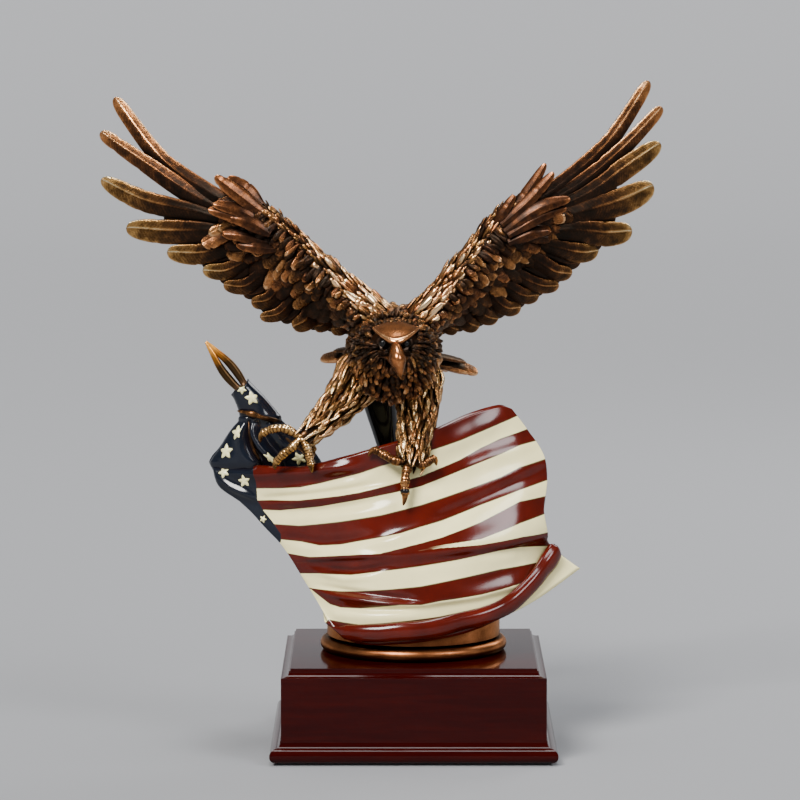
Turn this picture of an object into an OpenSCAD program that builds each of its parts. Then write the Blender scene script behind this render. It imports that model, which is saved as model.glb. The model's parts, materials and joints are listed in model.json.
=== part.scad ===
/* [Wooden base] */
// Width of the box part of the base, across the panels
base_w = 150; // [146:1:156]
// How far the foot moulding stands out past the panels
foot_out = 6.5; // [5:0.5:8]
// Height of the foot moulding
foot_h = 12.4; // [11:0.2:15]
// Height of the four side panels
panel_h = 34.3; // [28:0.1:50]
// Thickness of the side panels
panel_t = 9; // [8:0.5:10]
// Thickness of the top board
top_t = 6.1; // [5.5:0.1:8]
// Thickness of the felt under the base
felt_t = 1.2; // [0.8:0.1:2]
// Side of the square glue blocks in the corners
block_w = 12; // [10:1:14]

/* [Pedestal] */
// Radius of the circle that the rounded ring is turned about
ring_r = 50.1; // [49.5:0.1:51]
// Radius of the ring's own round edge
ring_edge_r = 3.8; // [3.5:0.1:4]
// Radius of the drum between the ring and the flag
drum_r = 50; // [48:0.5:50]

/* [Hardware] */
// Diameter of the threaded rod that clamps the sculpture to the base
rod_d = 6; // [5:0.5:8]
// Diameter of the screws in the bottom board
screw_d = 3.5; // [3:0.1:4]
// Diameter of the steel dowels between the castings
dowel_d = 4; // [3:0.5:5]

/* [Flag and staff] */
// Thickness of the flag casting
flag_t = 3.2; // [2.6:0.1:3.6]
// Diameter of the staff
staff_d = 6; // [5:0.5:7]
// Length of the spear finial
finial_len = 33; // [28:1:38]
// Width of the spear finial
finial_w = 12; // [10:1:14]

/* [Eagle] */
// Thickness of a flight feather at its shaft
feather_t = 3.4; // [2.6:0.2:4]
// Width of a primary feather
primary_w = 14; // [13:0.5:16]
// Width of a tail feather
tail_feather_w = 15; // [14:1:17]
// Radius of the glass eyes
eye_r = 2.5; // [2.2:0.1:2.8]

/* [Hidden] */

$fn = 64;
fit = 0.15;            // clearance round a dowel, rod or staff in its hole
mesh_fn = 16;          // facets of the balls that the castings are hulled from
fine_fn = 24;

wood = "#5a1a10";
bronze = "#6b4028";
copper = "#b06a42";
black = "#101010";
steel = "#9a9a98";

// Heights of the base, from the felt up
z_foot = felt_t;
z_panel = felt_t + foot_h;
z_board = z_panel + panel_h;
z_top = z_board + top_t;
half_w = base_w / 2;
foot_half = half_w + foot_out;
inner_half = half_w - panel_t;
felt_half = foot_half - 4;
block_at = inner_half - block_w / 2;

// Hardware
rod_r = rod_d / 2;
rod_foot_z = z_board - 14;
rod_tip_z = z_top + 44;
washer_t = 1.6;
washer_r = 10;
nut_af = 10;
nut_t = 5;
screw_r = screw_d / 2;
screw_len = 30;
screw_head_r = 3.6;
screw_head_h = 2.4;

// Pedestal, with heights over the top board
ring_z = ring_edge_r + 0.1;
ring_flat_z = ring_z + ring_edge_r;
drum_top = 24;
drum_groove = 2.5;

// Staff: a line in the plane y = staff_y, through staff_foot, leaning to -X
staff_lean = 41;
staff_foot = [0, 4, 38];
staff_dir = [-sin(staff_lean), 0, cos(staff_lean)];
sleeve_top_at = 150;   // distances along the staff from its foot
staff_len = 150.5;
collar_len = 2;
collar_r = 4.2;

// Support post, from the drum to the belly, over the top board
post_path = [[3, 27, drum_top], [-4, 24, 62], [-12, 18, 104], [-18, 11, 136], [-21, 7, 156]];
post_radii = [7, 6, 5.6, 9, 13];
post_sides = 28;

// Flag edges over the top board: each runs left to right or top to bottom
flag_top_edge = [[-117, 2, 107], [-91, -8, 108], [-65, -20, 109], [-39, -28, 116], [-22, -30, 121],
    [9, -26, 130], [32, -16, 139], [49, -7, 143], [56, -2, 141]];
flag_bottom_edge = [[-49, -38, 23], [-42, -44, 15], [-31, -50, 11], [-13, -54, 11], [9, -53, 13],
    [32, -46, 17], [52, -36, 24], [73, -22, 33], [95, 4, 46]];
flag_left_edge = [[-117, 2, 107], [-109, -1, 93], [-92, -6, 84], [-83, -10, 71], [-76, -14, 62],
    [-66, -20, 48], [-58, -27, 36], [-49, -38, 23]];
flag_right_edge = [[56, -2, 141], [67, 0, 127], [76, 0, 113], [78, -4, 99], [76, -10, 83],
    [77, -8, 70], [81, -4, 60], [95, 4, 46]];
flag_cols = 30;
flag_rows = 22;
flag_ripple = 1.1;     // depth of the soft folds that run along the stripes
flag_ripples = 4;

// Cloth gathered round the staff: centre and half sizes of each swelling
gather_blobs = [
    [[-92, 4, 140], [10, 10, 8]],
    [[-89, 5, 126], [20, 12, 7]],
    [[-87, 8, 110], [29, 14, 6]],
    [[-80, 9, 92], [23, 14, 10]],
    [[-61, 6, 72], [19, 17, 14]],
    [[-42, 1, 55], [23, 22, 14]],
    [[-24, -6, 40], [30, 27, 12]],
    [[-8, -15, 28], [36, 34, 8]]
];

// Eagle, over the top board
torso_blobs = [
    [[-12, -34, 177], [19, 12, 17]],
    [[-12, -22, 175], [25, 14, 23]],
    [[-12, -6, 172], [27, 16, 27]],
    [[-11, 12, 173], [25, 16, 25]],
    [[-10, 30, 171], [20, 15, 18]],
    [[-9, 45, 169], [14, 12, 11]],
    [[-8, 57, 166], [9, 7, 7]]
];
head_centre = [-11.5, -48, 183];
beak_path = [[-10, -62, 181], [-9, -67.5, 179.5], [-8.5, -71, 175], [-8.2, -71.5, 170], [-8, -70.5, 166.5]];
beak_radii = [6, 5.2, 4.2, 2.4, 0.8];
brow_path = [[-20, -58, 188], [-15.5, -62, 186.5], [-11, -64, 185], [-6.5, -62, 186.5], [-2, -58, 188]];
brow_r = 1.7;
eye_at = [[-17.2, -60.2, 183.5], [-4.8, -60.2, 183.5]];

right_arm = [[-24, 5, 192], [-42, 9, 207], [-62, 10, 226], [-86, 9, 247], [-109, 7, 266], [-127, 10, 280]];
left_arm = [[2, 5, 190], [17, 11, 203], [35, 14, 221], [53, 14, 245], [73, 14, 270], [90, 17, 285]];
arm_radii = [11, 9, 8, 6.8, 6, 4.5];
right_tips = [[-173, 24, 318], [-180, 20, 298], [-180, 17, 271], [-166, 15, 245], [-143, 15, 230],
    [-124, 17, 220], [-108, 19, 210], [-94, 21, 201], [-82, 22, 193], [-67, 23, 186], [-50, 23, 183],
    [-38, 20, 185]];
left_tips = [[138, 38, 328], [143, 35, 311], [143, 32, 291], [138, 30, 267], [126, 28, 243],
    [107, 27, 229], [92, 27, 218], [80, 27, 207], [66, 27, 197], [51, 26, 193], [38, 25, 188],
    [24, 22, 186]];
feather_bow = 0.055;   // how far a feather's middle sags, as a share of its length
covert_reach = 0.5;    // how far down the feathers the small covert feathers lie
covert_t = 5;

right_thigh = [[-28, -8, 164], [-38, -14, 150], [-49, -20, 137], [-58, -24, 130], [-64, -26, 126]];
right_thigh_r = [14, 11, 8.5, 6.5, 4.6];
right_toes = [
    [[-64, -26, 126], [-73, -25, 131], [-81, -20, 130], [-87, -17, 126], [-87, -15, 122]],
    [[-64, -26, 126], [-69, -27, 121], [-75, -24, 116], [-79, -21, 111], [-79, -19, 108]],
    [[-64, -26, 126], [-62, -28, 120], [-60, -27.5, 114], [-59, -28, 110], [-58, -27, 107]],
    [[-64, -26, 126], [-61, -19, 124], [-59, -13, 121], [-58, -10, 116], [-58, -9, 112]]
];
left_thigh = [[1, -6, 162], [2, -14, 146], [1, -22, 132], [0, -29, 121], [-1, -34, 114]];
left_thigh_r = [14, 11, 9.2, 8, 6];
left_toes = [
    [[-1, -34, 114], [-4, -39, 109], [-5, -41.5, 102], [-5, -42, 94], [-6, -41.5, 89]],
    [[-1, -34, 114], [-10, -36, 116], [-18, -34, 119], [-24, -32.5, 120], [-26, -32.5, 116]],
    [[-1, -34, 114], [5, -37, 113], [9, -36.5, 114], [12, -35, 114], [13, -33, 111]],
    [[-1, -34, 114], [2, -26, 119], [3, -20, 120], [4, -16, 116], [4, -16, 110]]
];
toe_radii = [4.4, 3.2, 2.8, 2.2, 0.7];

tail_root = [-8, 52, 166];
tail_feathers = 9;
tail_spread = 96;      // angle across the whole fan
tail_len = 64;
tail_pitch = -10;
tail_roll = 6;

// A point on a polyline, with t from 0 to 1 along its count of points
function along(path, t) =
    let (n = len(path) - 1, s = min(n - 0.0001, max(0, t * n)), i = floor(s))
    path[i] + (path[i + 1] - path[i]) * (s - i);

// The same, smoothed by a Catmull-Rom curve
function smooth_along(path, t) =
    let (n = len(path) - 1, s = min(n - 0.0001, max(0, t * n)), i = floor(s), f = s - i,
        a = path[max(i - 1, 0)], b = path[i], c = path[i + 1], d = path[min(i + 2, n)])
    0.5 * (2 * b + (c - a) * f + (2 * a - 5 * b + 4 * c - d) * f * f
        + (3 * b - a - 3 * c + d) * f * f * f);

function unit(v) = v / norm(v);

// A closed skin through rings that all have the same count of points
module skin(rings) {
    n = len(rings[0]);
    last = len(rings) - 1;
    sides = [for (r = [0 : last - 1]) for (i = [0 : n - 1])
        let (j = (i + 1) % n)
        [r * n + i, (r + 1) * n + i, (r + 1) * n + j, r * n + j]];
    start = [for (i = [0 : n - 1]) i];
    end = [for (i = [n - 1 : -1 : 0]) last * n + i];
    polyhedron(points = [for (ring = rings) for (p = ring) p], faces = concat([start], sides, [end]));
}

module ball(p, r, facets = mesh_fn) {
    translate(p) scale(r) sphere(r = 1, $fn = facets);
}

// Hulled balls along a path of points
module limb(path, radii) {
    for (i = [0 : len(path) - 2]) {
        hull() {
            ball(path[i], radii[i] * [1, 1, 1]);
            ball(path[i + 1], radii[i + 1] * [1, 1, 1]);
        }
    }
}

// Hulled egg shapes, each given as [centre, half sizes]
module swelling(blobs, facets = fine_fn) {
    for (i = [0 : len(blobs) - 2]) {
        hull() {
            ball(blobs[i][0], blobs[i][1], facets);
            ball(blobs[i + 1][0], blobs[i + 1][1], facets);
        }
    }
}

module rod_between(a, b, r, facets = 32) {
    v = b - a;
    translate(a)
        rotate([0, acos(v[2] / norm(v)), atan2(v[1], v[0])])
            cylinder(r = r, h = norm(v), $fn = facets);
}

// Everything of the sculpture is drawn in a frame on top of the wooden base
module on_base() {
    translate([0, 0, z_top]) children();
}

// ---- Wooden base ----

module felt_pad() {
    color("#1c1c1e")
        translate([-felt_half, -felt_half, 0])
            cube([2 * felt_half, 2 * felt_half, felt_t]);
}

module screw_places() {
    for (x = [-block_at, block_at]) {
        for (y = [-block_at, block_at]) {
            translate([x, y, z_foot]) children();
        }
    }
}

module screw_shape(grow = 0) {
    cylinder(r1 = screw_head_r + grow, r2 = screw_r + grow, h = screw_head_h);
    cylinder(r = screw_r + grow, h = screw_len + grow);
}

module base_screws() {
    color(steel) screw_places() screw_shape();
}

module base_plate() {
    color("#7a4a2c")
        difference() {
            translate([-inner_half, -inner_half, z_foot])
                cube([2 * inner_half, 2 * inner_half, foot_h]);
            screw_places() screw_shape(fit);
        }
}

module glue_blocks() {
    color("#c49a62")
        difference() {
            for (x = [-1, 1]) {
                for (y = [-1, 1]) {
                    translate([x * block_at - block_w / 2, y * block_at - block_w / 2, z_panel])
                        cube([block_w, block_w, panel_h - 1]);
                }
            }
            screw_places() screw_shape(fit);
        }
}

// Section of the foot moulding: a round nose below, then a hollow up to the panel
module foot_profile() {
    nose_r = foot_h * 0.34;
    nose_x = foot_half - nose_r;
    hollow = [for (a = [0 : 15 : 90])
        [half_w + 0.4 + (nose_x - half_w - 0.4) * (1 - sin(a)),
            z_panel - (foot_h - 2 * nose_r) * cos(a)]];
    union() {
        translate([nose_x, z_foot + nose_r]) circle(r = nose_r);
        polygon(concat([[inner_half, z_foot], [nose_x, z_foot], [nose_x, z_foot + 2 * nose_r]],
            hollow, [[inner_half, z_panel]]));
    }
}

// One side of a mitred frame, cut from a section swept along the side
module mitred(side) {
    reach = 2 * foot_half;
    rotate([0, 0, side * 90])
        intersection() {
            translate([0, reach / 2, 0])
                rotate([90, 0, 0])
                    linear_extrude(reach) children();
            linear_extrude(z_top)
                polygon([[0, 0], [reach, -reach], [reach, reach]]);
        }
}

module foot_moulding(side) {
    color(wood) mitred(side) foot_profile();
}

module side_panel(side) {
    color(wood)
        mitred(side)
            translate([inner_half, z_panel]) square([panel_t, panel_h]);
}

// Section of half the top board's edge: a cove over the panel and a small step
module board_section() {
    step_half = half_w - 5.3;
    cove = [for (a = [0 : 15 : 90])
        [step_half + 0.9 + (half_w - 1 - step_half) * (1 - sin(a)),
            z_board + 1.2 + (top_t * 0.4) * (1 - cos(a))]];
    right = concat([[half_w, z_board], [half_w, z_board + 1.2]], cove,
        [[step_half + 0.9, z_top - 1.4], [step_half, z_top - 1.2], [step_half, z_top]]);
    left = [for (i = [len(right) - 1 : -1 : 0]) [-right[i][0], right[i][1]]];
    polygon(concat(right, left));
}

module top_board() {
    color(wood)
        difference() {
            intersection() {
                translate([0, half_w, 0]) rotate([90, 0, 0]) linear_extrude(base_w) board_section();
                translate([-half_w, 0, 0]) rotate([90, 0, 90]) linear_extrude(base_w) board_section();
            }
            translate([0, 0, z_board - 1]) cylinder(r = rod_r + fit, h = top_t + 2);
        }
}

module threaded_rod() {
    color(steel)
        translate([0, 0, rod_foot_z]) cylinder(r = rod_r, h = rod_tip_z - rod_foot_z);
}

module rod_washer() {
    color(steel)
        translate([0, 0, z_board - washer_t])
            difference() {
                cylinder(r = washer_r, h = washer_t);
                translate([0, 0, -1]) cylinder(r = rod_r + fit, h = washer_t + 2);
            }
}

module rod_nut() {
    color(steel)
        translate([0, 0, z_board - washer_t - nut_t])
            difference() {
                cylinder(r = nut_af / sqrt(3), h = nut_t, $fn = 6);
                translate([0, 0, -1]) cylinder(r = rod_r + 0.02, h = nut_t + 2);
            }
}

// ---- Pedestal and post ----

module pedestal_ring() {
    color(copper)
        on_base()
            rotate_extrude()
                union() {
                    translate([ring_r, ring_z]) circle(r = ring_edge_r);
                    translate([rod_r + fit, 0]) square([ring_r - rod_r - fit, ring_flat_z]);
                }
}

module pedestal_drum() {
    color(copper)
        on_base()
            rotate_extrude()
                polygon([[rod_r + fit, ring_flat_z], [drum_r - drum_groove, ring_flat_z],
                    [drum_r, ring_flat_z + 1.5], [drum_r, drum_top - 2], [drum_r - 2, drum_top],
                    [rod_r + fit, drum_top]]);
}

// The post's rings lie level, so its foot stands flat on the drum
module post_shape(grow = 0) {
    rings = 12;
    skin([for (k = [0 : rings])
        let (c = smooth_along(post_path, k / rings), r = along(post_radii, k / rings) + grow)
        [for (i = [0 : post_sides - 1])
            let (a = 360 * i / post_sides)
            [c[0] + r * cos(a), c[1] + r * sin(a), c[2] - (k == 0 ? grow : 0)]]]);
}

module support_post() {
    color(black) on_base() post_shape();
}

// ---- Flag, staff and finial ----

// A point of the flag's front face, blended from its four edges
function flag_point(u, v) =
    let (top = smooth_along(flag_top_edge, u), bottom = smooth_along(flag_bottom_edge, u),
        left = smooth_along(flag_left_edge, v), right = smooth_along(flag_right_edge, v),
        corners = (1 - u) * (1 - v) * flag_top_edge[0] + u * (1 - v) * flag_right_edge[0]
            + (1 - u) * v * flag_bottom_edge[0] + u * v * flag_right_edge[len(flag_right_edge) - 1],
        ripple = flag_ripple * sin(360 * flag_ripples * v + 60 * u) * sin(180 * v) * sin(180 * u))
    (1 - v) * top + v * bottom + (1 - u) * left + u * right - corners + [0, ripple, 0];

function flag_normal(u, v) =
    let (e = 0.01, du = flag_point(min(1, u + e), v) - flag_point(max(0, u - e), v),
        dv = flag_point(u, min(1, v + e)) - flag_point(u, max(0, v - e)))
    unit(cross(dv, du));

// Each ring goes down the front of one column and back up its rear
module flag_shape(grow = 0) {
    skin([for (c = [0 : flag_cols])
        let (u = c / flag_cols)
        concat(
            [for (r = [flag_rows : -1 : 0]) let (v = r / flag_rows)
                flag_point(u, v) - flag_normal(u, v) * grow],
            [for (r = [0 : flag_rows]) let (v = r / flag_rows)
                flag_point(u, v) + flag_normal(u, v) * (flag_t + grow)])]);
}

module flag_panel() {
    color("#8a2a22") on_base() flag_shape();
}

function on_staff(d) = staff_foot + staff_dir * d;

module staff_shape(grow = 0) {
    rod_between(staff_foot - staff_dir * grow, on_staff(staff_len), staff_d / 2 + grow);
}

module gather_shape() {
    swelling(gather_blobs);
    hull() {
        rod_between(on_staff(sleeve_top_at - 2), on_staff(sleeve_top_at), 6.6, fine_fn);
        ball(gather_blobs[0][0], gather_blobs[0][1], fine_fn);
    }
}

module flag_gather() {
    color("#26304a")
        on_base()
            difference() {
                gather_shape();
                flag_shape(0.05);
                staff_shape(fit);
                post_shape(fit);
                translate([0, 0, drum_top - 50]) cylinder(r = 2 * drum_r, h = 50);
                cylinder(r = rod_r + fit, h = rod_tip_z - z_top + fit);
            }
}

module flag_staff() {
    color("#6a4a20") on_base() staff_shape();
}

// A frame whose +Z runs up the staff from a distance along it
module up_staff(d) {
    translate(on_staff(d)) rotate([0, -staff_lean, 0]) children();
}

module finial_collar() {
    color("#b8b4a4")
        on_base()
            up_staff(staff_len) cylinder(r = collar_r, h = collar_len);
}

// A lens of two arcs with its points on the Y axis
module lens(length, width) {
    arc_r = (length * length / 4 + width * width / 4) / width;
    intersection() {
        translate([arc_r - width / 2, 0]) circle(r = arc_r, $fn = 96);
        translate([width / 2 - arc_r, 0]) circle(r = arc_r, $fn = 96);
    }
}

module finial() {
    neck_r = 3;
    blade_t = 4.4;
    slot_len = finial_len * 0.5;
    slot_w = finial_w * 0.2;
    color("#a8682c")
        on_base()
            up_staff(staff_len + collar_len) {
                difference() {
                    union() {
                        cylinder(r = neck_r, h = 4);
                        translate([0, blade_t / 2, finial_len / 2])
                            rotate([90, 0, 0])
                                linear_extrude(blade_t) lens(finial_len, finial_w);
                    }
                    translate([0, blade_t, finial_len * 0.46])
                        rotate([90, 0, 0])
                            linear_extrude(2 * blade_t) lens(slot_len, slot_w);
                    translate([-20, -20, -40]) cube([40, 40, 40]);
                }
            }
}

// ---- Eagle ----

module torso_shape() {
    swelling(torso_blobs);
    hull() {
        ball(torso_blobs[2][0] + [-12, 4, 12], [13, 14, 12]);
        ball(right_arm[0], 10 * [1, 1, 1]);
    }
    hull() {
        ball(torso_blobs[2][0] + [10, 4, 12], [13, 14, 12]);
        ball(left_arm[0], 10 * [1, 1, 1]);
    }
}

// Dowels as pairs of end points
right_wing_dowel = [[-20, 4, 188], [-40, 8.5, 205]];
left_wing_dowel = [[-2, 4, 186], [15, 10, 201]];
right_leg_dowel = [[-22, -5, 172], [-38, -14, 150]];
left_leg_dowel = [[0, -4, 172], [2, -14, 146]];
tail_dowel_line = [[-9, 40, 169], [-8, 66, 165]];
head_dowel_line = [[-12, -24, 177], [-11.5, -48, 182]];

module dowel(line, grow = 0) {
    rod_between(line[0], line[1], dowel_d / 2 + grow);
}

module dowel_holes() {
    for (line = [right_wing_dowel, left_wing_dowel, right_leg_dowel, left_leg_dowel,
        tail_dowel_line, head_dowel_line]) {
        along_line = unit(line[1] - line[0]) * fit;
        rod_between(line[0] - along_line, line[1] + along_line, dowel_d / 2 + fit);
    }
}

module eagle_torso() {
    color(bronze)
        on_base()
            difference() {
                torso_shape();
                post_shape(fit);
                dowel_holes();
            }
}

module head_shape() {
    hull() {
        ball(head_centre, [14.5, 14, 13], fine_fn);
        ball(head_centre + [0.5, -5, -5], [10.5, 9, 9], fine_fn);
    }
    limb(beak_path, beak_radii);
    limb(brow_path, brow_r * [1, 1, 1, 1, 1]);
}

module eagle_head() {
    color(copper)
        on_base()
            difference() {
                head_shape();
                torso_shape();
                dowel_holes();
                for (p = eye_at) {
                    ball(p, (eye_r + 0.05) * [1, 1, 1], 32);
                }
            }
}

module eagle_eyes() {
    color("#080808")
        on_base()
            for (p = eye_at) {
                translate(p) sphere(r = eye_r);
            }
}

// A flat blade from its root to a rounded tip, bowed downwards; it faces front
module feather(root, tip, width) {
    bow = [0, 0, -norm(tip - root) * feather_bow];
    middle = along([root, tip], 0.5) + bow;
    near_tip = along([root, tip], 0.86) + bow * 0.5;
    hull() {
        ball(root, [2.2, feather_t / 2, 2.2], 8);
        ball(middle, [width / 2, feather_t / 2, width / 2], 12);
    }
    hull() {
        ball(middle, [width / 2, feather_t / 2, width / 2], 12);
        ball(near_tip, [width * 0.4, feather_t / 2, width * 0.4], 12);
        ball(tip, [1.6, 1, 1.6], 8);
    }
}

module wing_shape(arm, tips) {
    n = len(tips);
    roots = [for (i = [0 : n - 1]) along(arm, 1 - i / (n - 1))];
    limb(arm, arm_radii);
    for (i = [0 : n - 1]) {
        feather(roots[i], tips[i], i < 5 ? primary_w : primary_w + 2);
    }
    for (i = [0 : n - 2]) {
        hull() {
            ball(roots[i], covert_t / 2 * [1, 1.4, 1], 8);
            ball(roots[i + 1], covert_t / 2 * [1, 1.4, 1], 8);
            ball(along([roots[i], tips[i]], covert_reach), covert_t / 2 * [1, 1, 1], 8);
            ball(along([roots[i + 1], tips[i + 1]], covert_reach), covert_t / 2 * [1, 1, 1], 8);
        }
    }
}

module wing(arm, tips) {
    color(bronze)
        on_base()
            difference() {
                wing_shape(arm, tips);
                torso_shape();
                dowel_holes();
            }
}

module leg_shape(thigh, thigh_r, toes) {
    limb(thigh, thigh_r);
    for (toe = toes) {
        limb(toe, toe_radii);
    }
}

module leg(thigh, thigh_r, toes) {
    color(bronze)
        on_base()
            difference() {
                leg_shape(thigh, thigh_r, toes);
                torso_shape();
                head_shape();
                flag_shape(0.05);
                gather_shape();
                dowel_holes();
            }
}

module tail_shape() {
    translate(tail_root)
        rotate([tail_pitch, tail_roll, 0])
            for (i = [0 : tail_feathers - 1]) {
                f = i / (tail_feathers - 1) - 0.5;
                reach = tail_len * (1 - 0.5 * f * f);
                lift = 3 - 9 * abs(f);
                rotate([0, 0, -tail_spread * f])
                    hull() {
                        translate([0, 0, lift / 3]) ball([0, 0, 0], [4, 4, 3], 10);
                        ball([0, reach * 0.55, lift], [tail_feather_w * 0.45, 5, feather_t / 2], 12);
                        ball([0, reach - 6, lift], [tail_feather_w * 0.4, 5, feather_t / 2], 12);
                        ball([0, reach, lift], [2, 1.6, 1], 8);
                    }
            }
    hull() {
        ball(tail_root + [0, -2, 0], [8, 6, 6]);
        ball(tail_root + [0, 18, -1], [13, 8, 4]);
    }
}

module tail() {
    color(bronze)
        on_base()
            difference() {
                tail_shape();
                torso_shape();
                dowel_holes();
            }
}

module wing_dowels() {
    color(steel)
        on_base() {
            dowel(right_wing_dowel);
            dowel(left_wing_dowel);
        }
}

module leg_dowels() {
    color(steel)
        on_base() {
            dowel(right_leg_dowel);
            dowel(left_leg_dowel);
        }
}

module tail_dowel() {
    color(steel) on_base() dowel(tail_dowel_line);
}

module head_dowel() {
    color(steel) on_base() dowel(head_dowel_line);
}

felt_pad();
base_plate();
base_screws();
foot_moulding(0);  // foot_moulding_right
foot_moulding(1);  // foot_moulding_back
foot_moulding(2);  // foot_moulding_left
foot_moulding(3);  // foot_moulding_front
side_panel(0);  // right_panel
side_panel(1);  // back_panel
side_panel(2);  // left_panel
side_panel(3);  // front_panel
glue_blocks();
top_board();
threaded_rod();
rod_washer();
rod_nut();
pedestal_ring();
pedestal_drum();
support_post();
flag_panel();
flag_gather();
flag_staff();
finial();
finial_collar();
eagle_torso();
eagle_head();
eagle_eyes();
wing(right_arm, right_tips);  // right_wing
wing(left_arm, left_tips);  // left_wing
leg(right_thigh, right_thigh_r, right_toes);  // right_leg
leg(left_thigh, left_thigh_r, left_toes);  // left_leg
tail();
wing_dowels();
leg_dowels();
tail_dowel();
head_dowel();
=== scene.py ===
"""Eagle and flag statuette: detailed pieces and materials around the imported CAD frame."""
import bpy
import json
import random
from math import cos, exp, pi, radians, sin, sqrt
import numpy as np
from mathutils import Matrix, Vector, noise
from mathutils.bvhtree import BVHTree

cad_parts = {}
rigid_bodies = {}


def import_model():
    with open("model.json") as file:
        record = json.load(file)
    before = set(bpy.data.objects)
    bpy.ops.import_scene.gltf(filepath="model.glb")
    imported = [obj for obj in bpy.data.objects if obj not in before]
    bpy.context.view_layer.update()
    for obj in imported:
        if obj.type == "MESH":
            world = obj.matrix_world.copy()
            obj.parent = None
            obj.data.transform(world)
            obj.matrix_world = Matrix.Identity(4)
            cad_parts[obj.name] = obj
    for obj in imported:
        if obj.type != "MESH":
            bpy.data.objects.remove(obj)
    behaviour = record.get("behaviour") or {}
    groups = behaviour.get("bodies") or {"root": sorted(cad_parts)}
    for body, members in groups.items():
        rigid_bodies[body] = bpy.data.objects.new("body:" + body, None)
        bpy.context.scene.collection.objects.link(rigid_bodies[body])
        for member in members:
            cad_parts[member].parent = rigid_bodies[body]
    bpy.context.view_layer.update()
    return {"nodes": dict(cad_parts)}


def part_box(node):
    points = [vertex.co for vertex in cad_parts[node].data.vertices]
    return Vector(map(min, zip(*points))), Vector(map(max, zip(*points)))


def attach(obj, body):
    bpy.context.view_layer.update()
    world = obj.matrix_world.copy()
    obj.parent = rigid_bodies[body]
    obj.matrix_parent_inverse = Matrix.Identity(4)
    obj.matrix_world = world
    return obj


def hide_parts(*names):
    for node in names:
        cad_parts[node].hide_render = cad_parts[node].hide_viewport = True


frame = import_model()

MM = 0.001
rng = random.Random(11)
uniform = rng.uniform
FULL_TURN = 2 * pi

# Sculpture coordinates are millimetres over the wooden base, as in the CAD model.
TOP_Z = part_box("top_board")[1].z / MM


# ---------------------------------------------------------------- vectors and curves

def vec(*p):
    return np.array(p, float)


def unit(v):
    return v / max(1e-9, float(np.linalg.norm(v)))


def smooth(edge0, edge1, x):
    t = np.clip((x - edge0) / (edge1 - edge0), 0.0, 1.0)
    return t * t * (3 - 2 * t)


def along(path, t):
    """A place on a Catmull-Rom curve through points or numbers, t from 0 to 1 over their count."""
    pts = np.asarray(path, float)
    n = len(pts) - 1
    s = min(n - 1e-6, max(0.0, t * n))
    i = int(s)
    f = s - i
    a, b, c, d = pts[max(i - 1, 0)], pts[i], pts[i + 1], pts[min(i + 2, n)]
    return 0.5 * (2 * b + (c - a) * f + (2 * a - 5 * b + 4 * c - d) * f * f
                  + (3 * b - a - 3 * c + d) * f ** 3)


def tangent(path, t):
    e = 0.004
    return unit(along(path, min(1, t + e)) - along(path, max(0, t - e)))


def turn(v, axis, degrees):
    """v turned about a unit axis."""
    a = radians(degrees)
    return (v * cos(a) + np.cross(axis, v) * sin(a)
            + axis * np.dot(axis, v) * (1 - cos(a)))


def turns(count):
    """That many angles in one full turn."""
    return [FULL_TURN * k / count for k in range(count)]


def shares(count):
    """That many steps from 0 to 1."""
    return [i / (count - 1) for i in range(count)]


def sway(most):
    """A random number between minus and plus the given one."""
    return uniform(-most, most)


# ---------------------------------------------------------------- mesh collector

def inside_out(rings):
    """Whether the faces that a tube gets from these rings would look inwards."""
    a, b = rings[:-1] - rings.mean((0, 1)), rings[1:] - rings.mean((0, 1))
    an, bn = np.roll(a, -1, 1), np.roll(b, -1, 1)
    normal = np.cross(bn - a, b - an)
    return float(np.sum(normal * (a + an + b + bn))) < 0


class Skin:
    """Collects closed tubes. Each point has a UV in centimetres, a value for rubbed copper and painted
    light, and a tint.
    """

    def __init__(self):
        self.points, self.uvs, self.wears, self.tints = [], [], [], []
        self.faces = []
        self.marks = []
        self.count = 0

    def tube(self, rings, uv, wear, tint, mark=0):
        """rings is (rings, sides, 3). The two ends are closed with one face each."""
        rows, sides = rings.shape[:2]
        base = self.count
        uv = np.broadcast_to(uv, (rows, sides, 2))
        wear, tint = np.broadcast_to(wear, (rows, sides)), np.broadcast_to(tint, (rows, sides))
        if inside_out(rings):
            rings, uv, wear, tint = rings[::-1], uv[::-1], wear[::-1], tint[::-1]
        self.points.append(rings.reshape(-1, 3))
        self.uvs.append(uv.reshape(-1, 2))
        self.wears.append(wear.reshape(-1))
        self.tints.append(tint.reshape(-1))
        k = np.arange(sides)
        n = (k + 1) % sides
        for r in range(rows - 1):
            a, b = base + r * sides, base + (r + 1) * sides
            self.faces += np.stack([a + k, a + n, b + n, b + k], 1).tolist()
        self.count += rows * sides
        self.faces.append(list(range(base + sides - 1, base - 1, -1)))
        self.faces.append(list(range(self.count - sides, self.count)))
        self.marks += [mark] * ((rows - 1) * sides + 2)

    def build(self, name, materials, nodes, slot):
        """Makes the piece, puts it on the root body and lets it stand for the CAD nodes."""
        points = np.concatenate(self.points)
        points = (points + vec(0, 0, TOP_Z)) * MM
        mesh = bpy.data.meshes.new(name)
        mesh.from_pydata(points.tolist(), [], self.faces)
        index = np.zeros(len(mesh.loops), np.int32)
        mesh.loops.foreach_get("vertex_index", index)
        layer = mesh.uv_layers.new(name="UVMap")
        layer.data.foreach_set("uv", np.concatenate(self.uvs)[index].astype(np.float32).ravel())
        for label, values in (("wear", self.wears), ("tint", self.tints)):
            made = mesh.attributes.new(label, "FLOAT", "POINT")
            made.data.foreach_set("value", np.concatenate(values).astype(np.float32))
        mesh.polygons.foreach_set("use_smooth", [True] * len(mesh.polygons))
        mesh.polygons.foreach_set("material_index", self.marks)
        for material in materials:
            mesh.materials.append(material)
        mesh.validate()
        mesh.update()
        return place(mesh, name, nodes)


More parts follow.
